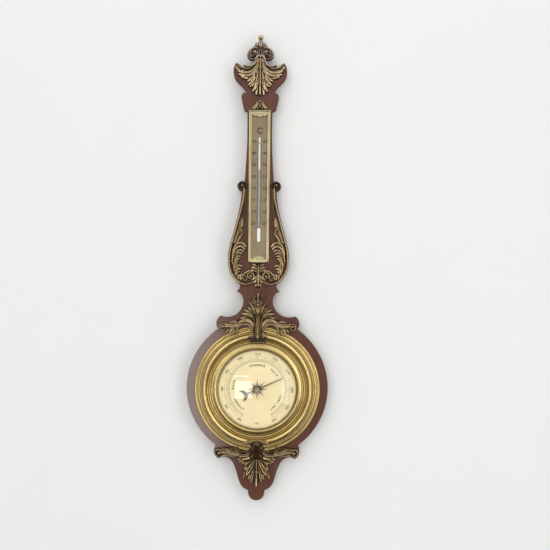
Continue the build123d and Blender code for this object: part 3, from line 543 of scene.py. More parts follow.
    def hollowness(self):
        """0 on what stands out, 1 deep in the grooves: how far each point lies below the mean
        around it, over a narrow and a wide window, and a little more along the edge. The gilt
        paints it as patina and as painted shade in the grooves and along the edge."""
        mask = (self.field > 0).astype(float)
        rel = self.top * mask
        out = np.full_like(rel, 0.30)
        for cells, depth, share in ((3, 1.0, 0.42), (8, 2.6, 0.5)):
            mean = box_blur(rel, cells) / np.maximum(box_blur(mask, cells), 0.05)
            out += share * (mean - rel) / depth
        out += 0.16 * (1 - np.clip(self.field / 1.2, 0, 1))
        return np.clip(out + self.stain, 0, 1)

    def build(self, name, slot, material, mirrored=1, level=0.0, both_faces=False):
        """Mesh it, with the slight unevenness of a casting. mirrored: 1 both halves, 0 as it is,
        -1 only the mirror image. both_faces repeats the relief at the back."""
        self.top += 0.05 * np.sin(1.7 * self.gx + 0.9 * self.gz) * np.sin(1.3 * self.gz - 0.8 * self.gx)
        hollow = self.hollowness()
        field = np.minimum(self.field, self.top - self.bottom - LEAST)
        layers = [field, self.top, self.bottom, hollow]
        x = self.x
        if mirrored == 1:
            layers = [np.concatenate([a[:, :0:-1], a], axis=1) for a in layers]
            x = np.concatenate([-x[:0:-1], x])
        elif mirrored == -1:
            layers = [a[:, ::-1] for a in layers]
            x = -x[::-1]
        field, top, bottom, hollow = layers
        field[0, :] = field[-1, :] = field[:, 0] = field[:, -1] = -1.0
        return mesh_field(name, slot, material, x, self.z, field, top, bottom, hollow,
                          level, both_faces)


def mark_hollows(piece, values):
    """Store a value for each vertex, 0 on what stands out and 1 in the hollows, for the materials."""
    attribute = piece.data.attributes.new("hollow", "FLOAT", "POINT")
    attribute.data.foreach_set("value", np.array(values, dtype=np.float32))


def mesh_field(name, slot, material, x, z, field, top, bottom, hollow, level, both_faces):
    """A closed mesh of the area where the field is positive, its edge cut at the zero line."""
    inside = field > 0
    index = np.full(field.shape, -1)
    index[inside] = np.arange(inside.sum())
    ii, jj = np.nonzero(inside)
    points = [(x[j], z[i]) for i, j in zip(ii, jj)]
    tops = list(top[inside])
    bottoms = list(bottom[inside])
    shade = list(hollow[inside])
    full = inside[:-1, :-1] & inside[:-1, 1:] & inside[1:, :-1] & inside[1:, 1:]
    faces = [
        (index[i, j], index[i, j + 1], index[i + 1, j + 1], index[i + 1, j])
        for i, j in zip(*np.nonzero(full))
    ]
    some = inside[:-1, :-1] | inside[:-1, 1:] | inside[1:, :-1] | inside[1:, 1:]
    crossings = {}
    rim = []

    def crossing(a, b):
        """The vertex where the zero line crosses between two grid places."""
        key = (a, b) if a < b else (b, a)
        if key not in crossings:
            share = field[a] / (field[a] - field[b])
            share = min(max(share, 0.03), 0.97)
            near = a if inside[a] else b
            crossings[key] = len(points)
            points.append((x[a[1]] + share * (x[b[1]] - x[a[1]]),
                           z[a[0]] + share * (z[b[0]] - z[a[0]])))
            tops.append(min(top[near], bottom[near] + EDGE))
            bottoms.append(bottom[near])
            shade.append(hollow[near])
        return crossings[key]

    for i, j in zip(*np.nonzero(some & ~full)):
        corners = [(i, j), (i, j + 1), (i + 1, j + 1), (i + 1, j)]
        loop = []
        cut = []
        for a, b in zip(corners, corners[1:] + corners[:1]):
            if inside[a]:
                loop.append(index[a])
            if inside[a] != inside[b]:
                made = crossing(a, b)
                loop.append(made)
                cut.append((made, bool(inside[a])))
        if len(cut) == 2:
            faces.append(tuple(loop))
            leaving = [v for v, leaves in cut if leaves][0]
            entering = [v for v, leaves in cut if not leaves][0]
            rim.append((leaving, entering))
        elif len(cut) == 4:                       # two opposite corners: keep them apart
            count = len(loop)
            for spot, vertex in enumerate(loop):
                if vertex < inside.sum():
                    before, after = loop[spot - 1], loop[(spot + 1) % count]
                    faces.append((before, vertex, after))
                    rim.append((after, before))
    count = len(points)
    places = np.array(points)
    high = np.array(tops) + level
    low = -np.array(tops) + level if both_faces else np.array(bottoms) + level
    vertices = np.concatenate([
        np.column_stack([places[:, 0], high, places[:, 1]]),
        np.column_stack([places[:, 0], low, places[:, 1]]),
    ])
    metres = [at(*v) for v in vertices]
    back = [tuple(v + count for v in reversed(face)) for face in faces]
    walls = [(b, a, a + count, b + count) for a, b in rim]
    piece = new_object(name, metres, faces + back + walls, material, slot)
    mark_hollows(piece, shade * 2)
    crease(piece, CREASE)
    return piece


# ---- Cast mounts ----------------------------------------------------------------------------
def crest_leaf():
    """Acanthus leaf that falls from the finial between the horns."""
    r = Relief(41, 468, 536)
    # The low broad grounds are stained dark: patina, and painted shade where they show between the lobes.
    r.leaf([(0, 530), (0, 512), (0, 496), (0, 482)], [5.5, 9.5, 14.0, 9], [4.6, 4.2, 3.6, 2.6], stain=0.3)
    r.leaf([(5, 521), (13, 509.5), (22, 506.0), (32, 508.0)], [3.5, 7.4, 7.6, 4.0], [4, 3.8, 3.2, 2.6],
           stain=0.3)
    r.leaf([(4.6, 531), (7.2, 523), (12.6, 518.0), (20, 516.6), (25.0, 518.2)],
           [1.5, 1.7, 1.6, 1.4, 1.5], [6.4, 6.2, 6.0, 6.4, 8.4], stain=0.12)
    r.leaf([(6.6, 524), (12, 514.6), (20, 511.0), (29.5, 512.2), (36.6, 515.6)],
           [1.6, 3.6, 4.8, 4.6, 2.2], [6.0, 6.2, 6.4, 7.0, 8.8], dish=0.62, stain=0.06)
    r.leaf([(26, 510), (33, 509.6), (38.4, 514.8)], [1.2, 2.0, 1.7], [6.4, 6.8, 9.4], dish=0.2)
    tip_rise = [6.6, 6.6, 6.2, 6.6, 9.4]
    r.fan([(4.0, 524), (8.6, 512.4), (16, 506.6), (26, 505.0), (36.4, 507.6)],
          [(3.2, 516), (7.8, 503.0), (13.6, 497.4), (19.4, 495.6), (25.6, 496.6)],
          4, [1.3, 2.0, 2.4, 2.5, 1.7], tip_rise, dish=0.22)
    r.fan([(4.2, 528), (5.6, 514), (9.6, 501), (14.6, 494.4), (20.4, 490.6)],
          [(1.2, 528), (1.6, 512), (2.8, 496), (4.6, 483), (5.8, 474.0)],
          7, [1.0, 1.2, 1.6, 2.4, 1.6], [8.0, 7.4, 7.0, 7.2, 9.8], dish=0.28)
    for x, z in ((7.6, 503.0), (4.6, 494.0)):
        r.groove([(x - 0.7, z + 2.4), (x + 0.5, z - 2.4)], 0.9, 2.6)
    r.leaf([(0, 531), (0, 505), (0, 487), (0, 472)], [1.3, 1.5, 1.8, 2.4], [8.4, 8.0, 7.6, 9.4], dish=0.12)
    r.seat(0, 512, 9.0)
    r.seat(0, 487, 9.0)
    return r


def crest_lip():
    """Rolled lip where the crest leaf starts, painted near-white as a highlight."""
    r = Relief(12, 519, 536)
    r.leaf([(0, 533.4), (3.6, 532.8), (6.6, 530.0), (7.8, 526.2), (9.8, 521.4)],
           [1.5, 1.5, 1.3, 0.9, 0.6], [10.2, 10.0, 9.4, 7.8, 6.6], stain=-0.7)
    return r


def pediment():
    """Little gable with pearls over the thermometer."""
    r = Relief(13, 446, 466)
    # The ground plate is stained dark: patina, and painted shade where it shows between the leaves.
    r.plate([(0, 463), (2.4, 462.5), (11.2, 451), (11.2, 447.4), (0, 447.4)], 2.6, 0.2)
    r.leaf([(0.6, 462.4), (4.2, 458.8), (7.6, 454.0), (11.0, 450)],
           [1.4, 1.8, 1.8, 1.4], [3.4, 3.8, 3.8, 4.4], dish=0.2)
    r.leaf([(1.4, 457.6), (4.4, 455.4), (7.4, 451.2)], [1.1, 1.3, 1.1], [3.2, 3.6, 3.8])
    r.pearl(0, 461.4, 2.1, 4.9, -0.4)
    r.pearl(0, 457.6, 1.3, 3.8)
    r.seat(0, 454, 4.5)
    r.pearl(4.2, 451.4, 1.8, 4.5, -0.3)
    r.pearl(8.2, 449.2, 1.5, 4.2, -0.1)
    return r


def upper_mount():
    """Palmette above the dial with leafy scrolls to both sides; its foot lies over the ring."""
    r = Relief(66, 76, 158, over_ring=True)
    # A dark plate under the foot: a painted shadow of the foot on the ring.
    r.plate([(0, 87.5), (15.4, 86.4), (14.6, 80.4), (8, 78.4), (0, 77.8)], 13.4, 0.7)
    # The low broad grounds are stained dark: patina, and painted shade where they show between the lobes.
    r.leaf([(0, 92), (0, 108), (0, 124), (0, 140)], [7, 13.5, 12, 6], [9, 4.6, 4.0, 3.4], stain=0.34)
    r.leaf([(10, 104), (20, 109.5), (30, 108.4)], [5.4, 5.6, 4.4], [4.6, 4.2, 3.4], stain=0.34)
    spread = [6.8, 6.4, 6.8, 9.2]
    r.fan([(2.0, 102), (9.4, 112.6), (17.6, 116.8), (27.6, 115.6)],
          [(1.6, 112), (5.0, 124), (8.6, 131.6), (12.6, 138.8)],
          5, [1.5, 2.4, 2.8, 1.9], spread, dish=0.28)
    r.fan([(1.4, 116), (3.6, 128), (6.4, 137), (9.6, 143.6)],
          [(0.8, 130), (2.2, 140), (3.4, 146), (6.0, 150.2)],
          3, [1.3, 1.9, 2.2, 1.6], [7.2, 6.8, 6.6, 9.0], dish=0.25)
    r.leaf([(0, 110), (0, 126), (0, 142), (0, 152.6)], [2.2, 2.2, 2.4, 2.8], [8.0, 7.6, 7.2, 9.6], dish=0.2)
    r.fan([(4.0, 100), (12.0, 109.6), (20, 112.6), (28.6, 110.0)],
          [(5.0, 97), (12.4, 105.8), (21, 108.4), (30, 104.8)],
          3, [1.8, 2.5, 2.6, 2.0], [10, 8.6, 8.0, 8.8], dish=0.25)
    r.leaf([(6.2, 85), (6.0, 93), (9.4, 100.6), (16, 104.8), (24, 105.4), (30.4, 101.8), (33.4, 95.0),
            (34.0, 90.4)],
           [2.6, 2.4, 2.6, 2.5, 2.3, 2.2, 2.0, 1.2], [16.6, 12.4, 9.6, 8.8, 8.6, 8.8, 9.0, 9.8], dish=0.3)
    r.fan([(27, 106.4), (36, 103.6), (46, 103.2), (53.6, 104.6)],
          [(29, 103.0), (36, 99.6), (46, 99.4), (52.4, 98.4)],
          3, [2.0, 2.6, 2.4, 1.6], [7.8, 7.8, 7.8, 7.6], dish=0.2)
    r.fan([(35, 101.6), (37.6, 96.4), (39.2, 90.0)], [(39, 102), (45.6, 97.8), (49.0, 93.4)],
          3, [1.8, 2.5, 1.6], [8.0, 8.2, 10.2], dish=0.3)
    r.leaf([(31, 106), (38, 109.2), (44, 107.8)], [1.8, 2.4, 1.4], [7.4, 7.6, 9.2], dish=0.3)
    r.volute(55.2, 99.6, 6.2, -1.3, 110, 2.1, 9.0, 0.2)
    r.leaf([(0, 84), (0, 98), (0, 108), (0, 120)], [4.4, 2.8, 2.0, 1.4], [17.2, 11.4, 9.2, 8.2])
    r.fan([(3.4, 86), (3.4, 98), (4.6, 108), (8.4, 117)], [(1.8, 86), (1.8, 98), (2.2, 110), (3.2, 122)],
          2, [1.4, 1.4, 1.3, 1.0], [16.6, 11.0, 8.8, 7.8])
    r.seat(0, 136, 9.0)
    r.seat(56, 101.5, 9.0)
    for x, z in ((4.6, 84.8), (8.8, 84.4), (12.8, 85.8)):
        r.leaf([(x * 0.66, 92), (x * 0.9, 88), (x, z)], [1.6, 2.2, 1.8], [14.6, 16.2, 17.4], dish=0.25)
    return r


def lower_mount():
    """Claws on the ring, a flared stem and a hanging palmette, with scrolls to both sides."""
    r = Relief(69, -157, -76, over_ring=True)
    # A dark plate between the claws: painted shade over the ring.
    r.plate([(0, -80.2), (11.0, -80.2), (8.6, -92), (0, -95)], 13.2, 0.6)
    # The low broad grounds are stained dark: patina, and painted shade where they show between the lobes.
    r.leaf([(0, -104), (0, -118), (0, -130), (0, -142)], [9, 13.5, 11, 6], [5, 4.4, 3.8, 3.0], stain=0.34)
    r.leaf([(22, -104), (36, -98), (48, -97)], [5.0, 6.6, 5.0], [4.6, 4.6, 4.4], stain=0.34)
    r.fan([(10.4, -103), (16.4, -106.4), (22.6, -108.4), (29.8, -110.6)],
          [(6.0, -107), (10.6, -111.6), (14.8, -116.2), (18.4, -119.0)],
          4, [2.4, 3.0, 3.1, 1.8], [8.6, 8.0, 7.6, 9.4], dish=0.3)
    r.fan([(3.4, -110), (9.6, -117.2), (14.6, -123.2), (18.4, -126.6)],
          [(1.6, -115), (4.4, -128), (6.6, -138), (8.0, -146.6)],
          4, [1.7, 3.2, 3.8, 2.3], [7.6, 7.0, 6.8, 9.6], dish=0.4)
    r.leaf([(5, -116), (12.4, -126), (17.4, -132), (20.6, -139.4)], [1.4, 2.6, 2.8, 1.5], [7, 6.8, 7.2, 9.0],
           dish=0.35)
    r.leaf([(0, -112), (0, -126), (0, -140), (0, -152.4)],
           [1.8, 1.9, 2.0, 2.4], [8.4, 7.4, 6.8, 9.0], dish=0.15)
    r.leaf([(0, -86), (0, -96), (0, -103), (0, -109)], [6.0, 6.2, 8.4, 9.6], [15.6, 11.6, 9.0, 5.4],
           flutes=2, round_power=0.42, stain=-0.22)
    r.leaf([(3.0, -94), (5.0, -103), (13.0, -109.4), (22.0, -110.6)], [2.6, 3.6, 3.4, 2.2],
           [10.6, 8.8, 8.0, 7.6], stain=-0.22)
    r.fan([(1.2, -86), (1.4, -98), (2.0, -109)], [(4.4, -86), (4.8, -97.4), (9.8, -106.6)],
          2, [1.3, 1.3, 1.1], [16.4, 12.6, 9.8], stain=-0.2)
    r.leaf([(5.4, -95), (5.4, -87.6), (8.4, -82.4), (13.0, -80.8), (17.2, -82.4), (17.8, -86.8)],
           [2.2, 2.4, 2.5, 2.6, 2.5, 1.8], [13.6, 15.6, 16.8, 17.2, 17.2, 17.4], dish=0.25)
    r.leaf([(7.0, -85), (8.4, -93), (11.4, -100.0), (18.0, -104.2), (26, -104.4), (33, -101.6)],
           [2.2, 2.6, 3.0, 3.1, 2.8, 2.4], [14.8, 11.8, 9.6, 8.8, 8.6, 8.6], dish=0.35)
    r.fan([(30, -101.4), (40, -99.4), (50, -95.8), (58.4, -94.6)],
          [(30, -105.2), (40, -104.2), (49, -103.2), (55, -105.2)],
          3, [2.4, 3.0, 2.7, 1.8], [8.4, 8.2, 8.2, 8.0], dish=0.25)
    r.fan([(30, -102), (29.6, -96.4), (30.8, -91.4)], [(42, -100), (45.6, -96.4), (49.6, -93.4)],
          5, [1.8, 2.5, 1.8], [8.2, 8.4, 10.0], dish=0.32)
    r.leaf([(11.0, -95.0), (18, -98.0), (26, -98.2), (30, -96.0)], [0.8, 1.1, 1.1, 0.8],
           [9.0, 8.0, 7.8, 7.4], stain=-0.2)
    r.volute(24.4, -111.0, 3.2, 1.0, 90, 1.2, 9.0, 0.1)
    r.volute(60.0, -99.6, 7.0, 1.3, -130, 2.3, 9.2, 0.35)
    r.seat(0, -130, 9.0)
    r.seat(60, -100, 9.0)
    return r


def side_mount():
    """Rail along the pear's edge with fern leaves and scrolls (the right-hand one)."""
    r = Relief(49, 163, 334, left=5.0)
    # The low broad grounds are stained dark: patina, and painted shade where they show between the leaves.
    r.leaf([(34, 252), (37, 240), (39.5, 224), (39.5, 206), (37, 192), (31, 182)],
           [2.5, 5.0, 4.6, 4.4, 4.0, 2.6], [3.2, 3.4, 3.2, 3.0, 2.8, 2.4], stain=0.42)
    r.leaf([(28, 270), (33, 256), (36, 244)], [1.5, 3.4, 4.2], [3, 3.2, 3.2], stain=0.42)
    r.leaf([(24, 322), (24.8, 306), (28.4, 288), (32.6, 272), (37.0, 256), (41.4, 240), (45.0, 224),
            (46.6, 208), (45.6, 195), (41.0, 183.4), (32.6, 173.6), (22.0, 168.6), (13.4, 169.8),
            (7.8, 174.2)],
           [1.8, 1.8, 1.9, 2.0, 2.1, 2.1, 2.1, 2.1, 2.1, 2.1, 2.0, 1.9, 1.8, 1.2],
           [5.4, 5.8, 6.0, 6.2, 6.2, 6.2, 6.2, 6.2, 6.2, 6.0, 6.0, 6.0, 5.8, 5.4], stain=-0.45)
    for step in range(11):                         # the twisted edge beside the upper rail
        z = 318 - 5.4 * step
        x = 20.9 + 0.14 * step + 0.006 * step**2 + 0.25 * max(0, step - 5)
        r.leaf([(x + 2.6, z - 2.8), (x, z + 1.4)], [1.3, 1.5], [4.6, 6.2], stain=-0.1)
    r.fan([(40.0, 236), (34.8, 251), (30.0, 263.6), (25.6, 275.6)],
          [(35.6, 232), (32.6, 238.4), (29.0, 244.6), (25.4, 249.6)],
          5, [1.6, 2.2, 2.2, 1.5], [5.8, 5.8, 5.8, 7.4], dish=0.25)
    r.fan([(20.4, 228.6), (24.6, 233.6), (31.4, 234.4), (37.6, 229.6), (41.6, 219), (42.2, 205)],
          [(30.8, 209.6), (33.6, 209.0), (36.0, 204.6), (37.0, 199), (37.4, 193), (36.6, 188)],
          6, [1.7, 2.2, 2.1, 1.8, 1.6, 1.2], [7.8, 7.0, 6.4, 6.0, 5.8, 5.4], dish=0.25)
    r.fan([(26.6, 197.6), (31.0, 198.4), (35.4, 193.8), (37.8, 186.4)],
          [(31.0, 189.0), (33.6, 188.6), (35.6, 184.8), (36.0, 180.4)],
          3, [1.8, 2.3, 1.9, 1.2], [7.6, 6.6, 6.2, 5.4], dish=0.25)
    r.fan([(30.8, 183.6), (32.6, 180.8), (31.6, 176.6)], [(26.4, 184.4), (28.8, 181.6), (28.6, 176.6)],
          2, [1.6, 2.0, 1.4], [6.4, 6.0, 5.6], dish=0.2)
    r.volute(13.2, 182.0, 6.8, -1.3, 250, 2.1, 6.6, 0.05)
    r.leaf([(9.6, 188.6), (14.6, 190.2), (19.8, 187.2), (24.4, 182.6), (26.6, 176.6)],
           [1.5, 1.7, 1.8, 1.8, 1.5], [7.2, 6.4, 6, 5.8, 6.2], dish=0.2)
    r.volute(21.8, 177.4, 5.0, 1.1, 40, 1.6, 6.2, 0.15)
    r.volute(27.4, 326, 6.6, -1.4, 200, 2.3, 6.4, 0.62)
    for x, z in ((27.4, 326), (29, 256), (42, 206)):
        r.seat(x, z, 6.0)
    return r


def pear_bottom():
    """Cartouche with little leaves under the thermometer."""
    r = Relief(14, 162, 203)
    # The low broad ground is stained dark: patina, and painted shade where it shows between the leaves.
    r.leaf([(0, 199), (0, 188), (0, 176), (0, 167)], [4.5, 6.5, 6.5, 4.0], [3.4, 3.4, 3.2, 2.4], stain=0.2)
    r.fan([(1.0, 188), (6.4, 190.8), (11.6, 191.6)], [(0.8, 194), (4.6, 198.6), (8.4, 200.4)],
          3, [1.6, 2.3, 1.5], [5.4, 5.2, 6.8], dish=0.25)
    r.fan([(1.0, 183), (4.6, 178.6), (8.6, 176.8)], [(0.8, 177), (2.6, 170.8), (4.4, 166.2)],
          3, [1.5, 2.1, 1.5], [5.4, 5.2, 6.6], dish=0.25)
    r.leaf([(0, 196), (0, 187), (0, 177), (0, 166)], [1.8, 2.1, 2.5, 1.6], [6.2, 6.0, 6.2, 6.8], dish=0.2)
    r.pearl(0, 198.2, 2.2, 6.6, -0.2)
    r.seat(0, 190, 6.0)
    return r


def finial():
    """Bud of petals, gold band and two rolled volutes, alike on both faces."""
    r = Relief(22, 525.5, 563)
    r.leaf([(0, 546), (0, 538), (0, 527.4)], [4.0, 6.0, 9.5], [3.6, 4.4, 4.6], flutes=3, stain=0.3)
    r.fan([(2.0, 544), (2.0, 536), (2.4, 528)], [(5.6, 544), (5.4, 537), (8.0, 529)],
          2, [1.5, 1.5, 1.7], [5.8, 5.6, 5.4], stain=0.05)
    r.pearl(13.9, 537.0, 7.2, 7.2, 0.3)
    r.leaf([(2.8, 545.0), (8.2, 548.0), (14.6, 545.8), (19.2, 539.4), (18.4, 532.8), (13.2, 529.6),
            (8.8, 531.8)],
           [1.4, 2.1, 2.3, 2.1, 2.0, 1.8, 1.4], [5.4, 6.4, 7.0, 7.4, 7.2, 6.8, 6.2], stain=0.22)
    r.leaf([(8.4, 536.4), (10.6, 541.6), (15.0, 541.8), (16.8, 537.2), (14.4, 533.6)],
           [1.2, 1.5, 1.6, 1.6, 1.9], [6.4, 7.2, 7.8, 8.0, 8.0], stain=0.0)
    r.leaf([(3.0, 546.8), (6.4, 548.0), (9.0, 549.4)], [2.4, 3.0, 2.8], [5.4, 6.4, 6.2], stain=0.15)
    r.leaf([(2.4, 547.6), (5.2, 551.6), (6.2, 554.4)], [2.2, 3.0, 2.6], [5.8, 7.0, 6.2],
           dish=0.15, stain=0.08)
    r.leaf([(0, 546.4), (0, 552), (0, 558.6)], [3.6, 4.6, 3.4], [6.4, 8.0, 5.6], dish=0.15, stain=0.02)
    r.pearl(0, 548.8, 2.1, 8.4, -0.5)
    r.leaf([(0, 544.8), (2.6, 544.8)], [1.5, 1.4], [7.4, 7.0], stain=-0.8)
    return r


def make_mounts():
    """All castings, each in place of its CAD node."""
    gilt = MATERIALS["gilt_casting"]
    brown = MATERIALS["gilt_brown"]
    for node_name, relief, mirrored, tone in (
        ("crest_leaf_mount", crest_leaf(), 1, gilt), ("pediment_mount", pediment(), 1, gilt),
        ("upper_dial_mount", upper_mount(), 1, brown), ("lower_dial_mount", lower_mount(), 1, brown),
        ("pear_bottom_mount", pear_bottom(), 1, brown),
        ("side_mount_right", side_mount(), 0, brown), ("side_mount_left", side_mount(), -1, brown),
    ):
        piece = relief.build(node_name + "_cast", "gilt_casting", tone, mirrored)
        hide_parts(node_name)
    crest_lip().build("crest_lip", "gilt_casting", MATERIALS["lip_painted_highlight"])
    piece = finial().build("finial_cast", "gilt_finial", MATERIALS["gilt_finial"],
                           level=-BOARD_MIDDLE, both_faces=True)
    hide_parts("finial_carving")


make_mounts()


# ---- Turned and spun pieces -----------------------------------------------------------------
def bulged(points, most=0.35):
    """A line through (radius, height, bulge) points; a bulge makes the stretch to the next
    point an arc that rises so far to its left."""
    line = []
    for (r0, h0, bulge), (r1, h1, _) in zip(points, points[1:]):
        line.append((r0, h0))
        if bulge == 0:
            continue
        half = math.hypot(r1 - r0, h1 - h0) / 2
        radius = (half**2 + bulge**2) / (2 * abs(bulge))
        sweep = 2 * math.asin(min(1.0, half / radius))
        if abs(bulge) > half:
            sweep = 2 * math.pi - sweep
        count = max(6, int(radius * sweep / most))
        side = math.copysign(1, bulge)
        nx, nh = -(h1 - h0) / (2 * half), (r1 - r0) / (2 * half)
        mid_r, mid_h = (r0 + r1) / 2, (h0 + h1) / 2
        drop = radius - abs(bulge)
        cr, ch = mid_r - side * drop * nx, mid_h - side * drop * nh
        start = math.atan2(h0 - ch, r0 - cr)
        for k in range(1, count):
            angle = start - side * sweep * k / count
            line.append((cr + radius * math.cos(angle), ch + radius * math.sin(angle)))
    line.append(points[-1][:2])
    return line


def tidy_mesh(piece):
    """Merge doubled vertices and turn all faces outwards."""
    work = bmesh.new()
    work.from_mesh(piece.data)
    bmesh.ops.remove_doubles(work, verts=work.verts, dist=1e-7)
    bmesh.ops.recalc_face_normals(work, faces=work.faces)
    work.to_mesh(piece.data)
    work.free()


def turn(name, profile, slot, segments, place, closed):
    """Turn a profile about an axis; place gives the point for a radius, a level and an angle."""
    vertices = []
    for k in range(segments):
        angle = 2 * math.pi * k / segments
        vertices += [place(radius, level, angle) for radius, level in profile]
    count = len(profile)
    faces = []
    for k in range(segments):
        here, there = k * count, (k + 1) % segments * count
        for i in range(count if closed else count - 1):
            j = (i + 1) % count
            faces.append((here + i, there + i, there + j, here + j))
    piece = new_object(name, vertices, faces, MATERIALS[slot], slot)
    tidy_mesh(piece)
    crease(piece, 40)
    return piece


def lathe(name, profile, slot, segments=256):
    """Turn a closed profile of (radius, height) points, in mm, about the dial's axis."""
    def place(radius, height, angle):
        return (radius * MM * math.cos(angle), FRONT_Y - height * MM,
                DIAL_Z + radius * MM * math.sin(angle))

    return turn(name, profile, slot, segments, place, closed=True)


def upright_lathe(name, profile, slot, height, segments=48):
    """Turn a profile of (radius, outline height) points, in mm, about an upright axis that
    stands in front of the board's middle, at a height above its face."""
    def place(radius, z, angle):
        return at(radius * math.cos(angle), height + radius * math.sin(angle), z)

    return turn(name, profile, slot, segments, place, closed=False)


# Closed outlines as (radius, height, bulge of the stretch to the next point), in mm: the upper
# face from the bore outwards, then the underside back.
RING_PROFILE = [
    (66.0, 0, 0), (66.0, 0.9, 0), (74.0, 0.9, 0), (74.0, 7.2, 0), (74.2, 8.2, 0.9), (76.6, 7.8, 0),
    (77.3, 6.0, -0.5), (79.8, 6.2, 0), (80.4, 7.6, 5.0), (87.8, 6.2, 0), (88.6, 3.2, -0.3),
    (91.2, 3.0, 1.0), (94.6, 2.8, 0), (95.2, 1.3, -0.2), (97.0, 1.3, 0), (97.4, 1.9, 0.6),
    (100.1, 1.6, 0), (100.2, 0, 0),
    (98.8, 0, 0), (97.4, 0.5, 0), (94.8, 0.5, 0), (93.0, 1.3, 0), (89.2, 1.5, 0), (86.0, 5.0, 0),
    (83.6, 6.4, 0), (80.6, 4.4, 0), (76.0, 4.6, 0), (76.0, 0, 0), (66.0, 0, 0),
]
BEZEL_PROFILE = [
    (64.6, 2.2, 0), (64.6, 6.65, 0), (62.2, 7.2, 0), (62.2, 8.0, 0.2), (63.1, 8.0, 0),
    (63.4, 7.5, 0), (64.2, 7.5, 0), (64.8, 9.2, 0.4), (66.4, 10.6, 0.25), (71.0, 9.3, -0.2),
    (72.0, 8.6, 0.2), (73.3, 8.0, 0),
    (73.3, 2.2, 0), (71.9, 2.2, 0), (71.9, 7.0, 0), (67.4, 8.6, 0), (66.2, 7.4, 0), (66.2, 2.2, 0),
    (64.6, 2.2, 0),
]


def skyline(profiles, radii):
    """The greatest height of any of the profiles at each radius."""
    top = np.zeros(len(radii))
    for profile in profiles:
        for (r0, h0), (r1, h1) in zip(profile, profile[1:]):
            low, high = sorted((r0, r1))
            inside = (radii >= low) & (radii <= high)
            share = (radii[inside] - r0) / ((r1 - r0) or 1.0)
            top[inside] = np.maximum(top[inside], h0 + share * (h1 - h0))
    return top


def stain_grooves(piece, profiles):
    """Mark how deep each point lies below the turned surface around it, for the brown residue and
    painted shade in the grooves. The glass counts as high, so the corner beside it is darkened too."""
    step = 0.1                                     # all in mm
    reach, depth = 2.4, 2.6                        # of the surroundings; what counts as deepest
    sight_r, glass_height = 62.2, 11.5
    radii = np.arange(55.0, 108.0, step)
    top = skyline(profiles, radii)
    top[radii < sight_r] = glass_height
    width = int(reach / step)
    around = np.convolve(top, np.ones(2 * width + 1) / (2 * width + 1), mode="same")
    shade = []
    for vertex in piece.data.vertices:
        x, height, z = vertex.co
        radius = math.hypot(x, z - DIAL_Z) / MM
        level = np.interp(radius, radii, around)
        shade.append(min(1.0, max(0.0, (level - (FRONT_Y - height) / MM) / depth)))
    mark_hollows(piece, shade)


def make_ring():
    """The spun outer ring and the sight bezel."""
    outer, inner = bulged(RING_PROFILE), bulged(BEZEL_PROFILE)
    ring = lathe("outer_ring_spun", outer[:-1], "polished_brass")
    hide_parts("outer_bezel_ring")
    bezel = lathe("sight_bezel_spun", inner[:-1], "polished_brass")
    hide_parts("sight_bezel")
    for piece in (ring, bezel):
        stain_grooves(piece, [outer, inner])


def make_glass():
    """The convex glass, bored for the bush."""
    edge_r, rise, seat, thick, bore = 64.4, 7.0, 4.6, 2.0, 2.6
    sphere = (edge_r**2 + rise**2) / (2 * rise)

    def face(radius, lift):
        return (radius, seat + rise - sphere + math.sqrt(sphere**2 - radius**2) + lift)

    steps = [bore + (edge_r - bore) * k / 40 for k in range(41)]
    profile = [face(r, 0) for r in steps] + [face(r, thick) for r in reversed(steps)]
    glass = lathe("dial_glass_domed", profile, "dial_glass", segments=192)
    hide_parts("dial_glass")


def make_ball():
    """Turned ball on its neck above the bud."""
    radius, centre = 4.3, 565.6
    line = [(0.0, 561.5), (1.6, 561.5), (1.5, 561.7)]
    for k in range(2, 33):
        a = math.pi * (k / 32 - 0.5)
        line.append((radius * math.cos(a), centre + radius * math.sin(a)))
    line[-1] = (0.0, centre + radius)
    ball = upright_lathe("finial_ball_turned", line, "ball_brass", -BOARD_MIDDLE, segments=64)
    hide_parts("finial_ball")


# ---- Thermometer ----------------------------------------------------------------------------
def make_tube():
    """The glass tube: an empty white-backed upper part and the filled part below."""
    radius, height = 1.5, 3.5
    foot, level, shoulder = 258.5, 352, 402
    full = upright_lathe("tube_filled", [(0, foot), (radius, foot), (radius, level), (0, level)],
                         "liquid_grey", height)
    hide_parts("thermometer_liquid")
    line = [(0, level), (radius, level)] + [
        (radius * math.cos(a), shoulder + radius * math.sin(a))
        for a in [math.pi / 2 * k / 8 for k in range(8)]
    ] + [(0, shoulder + radius)]
    empty = upright_lathe("tube_empty", line, "tube_glass", height)
    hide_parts("thermometer_tube")


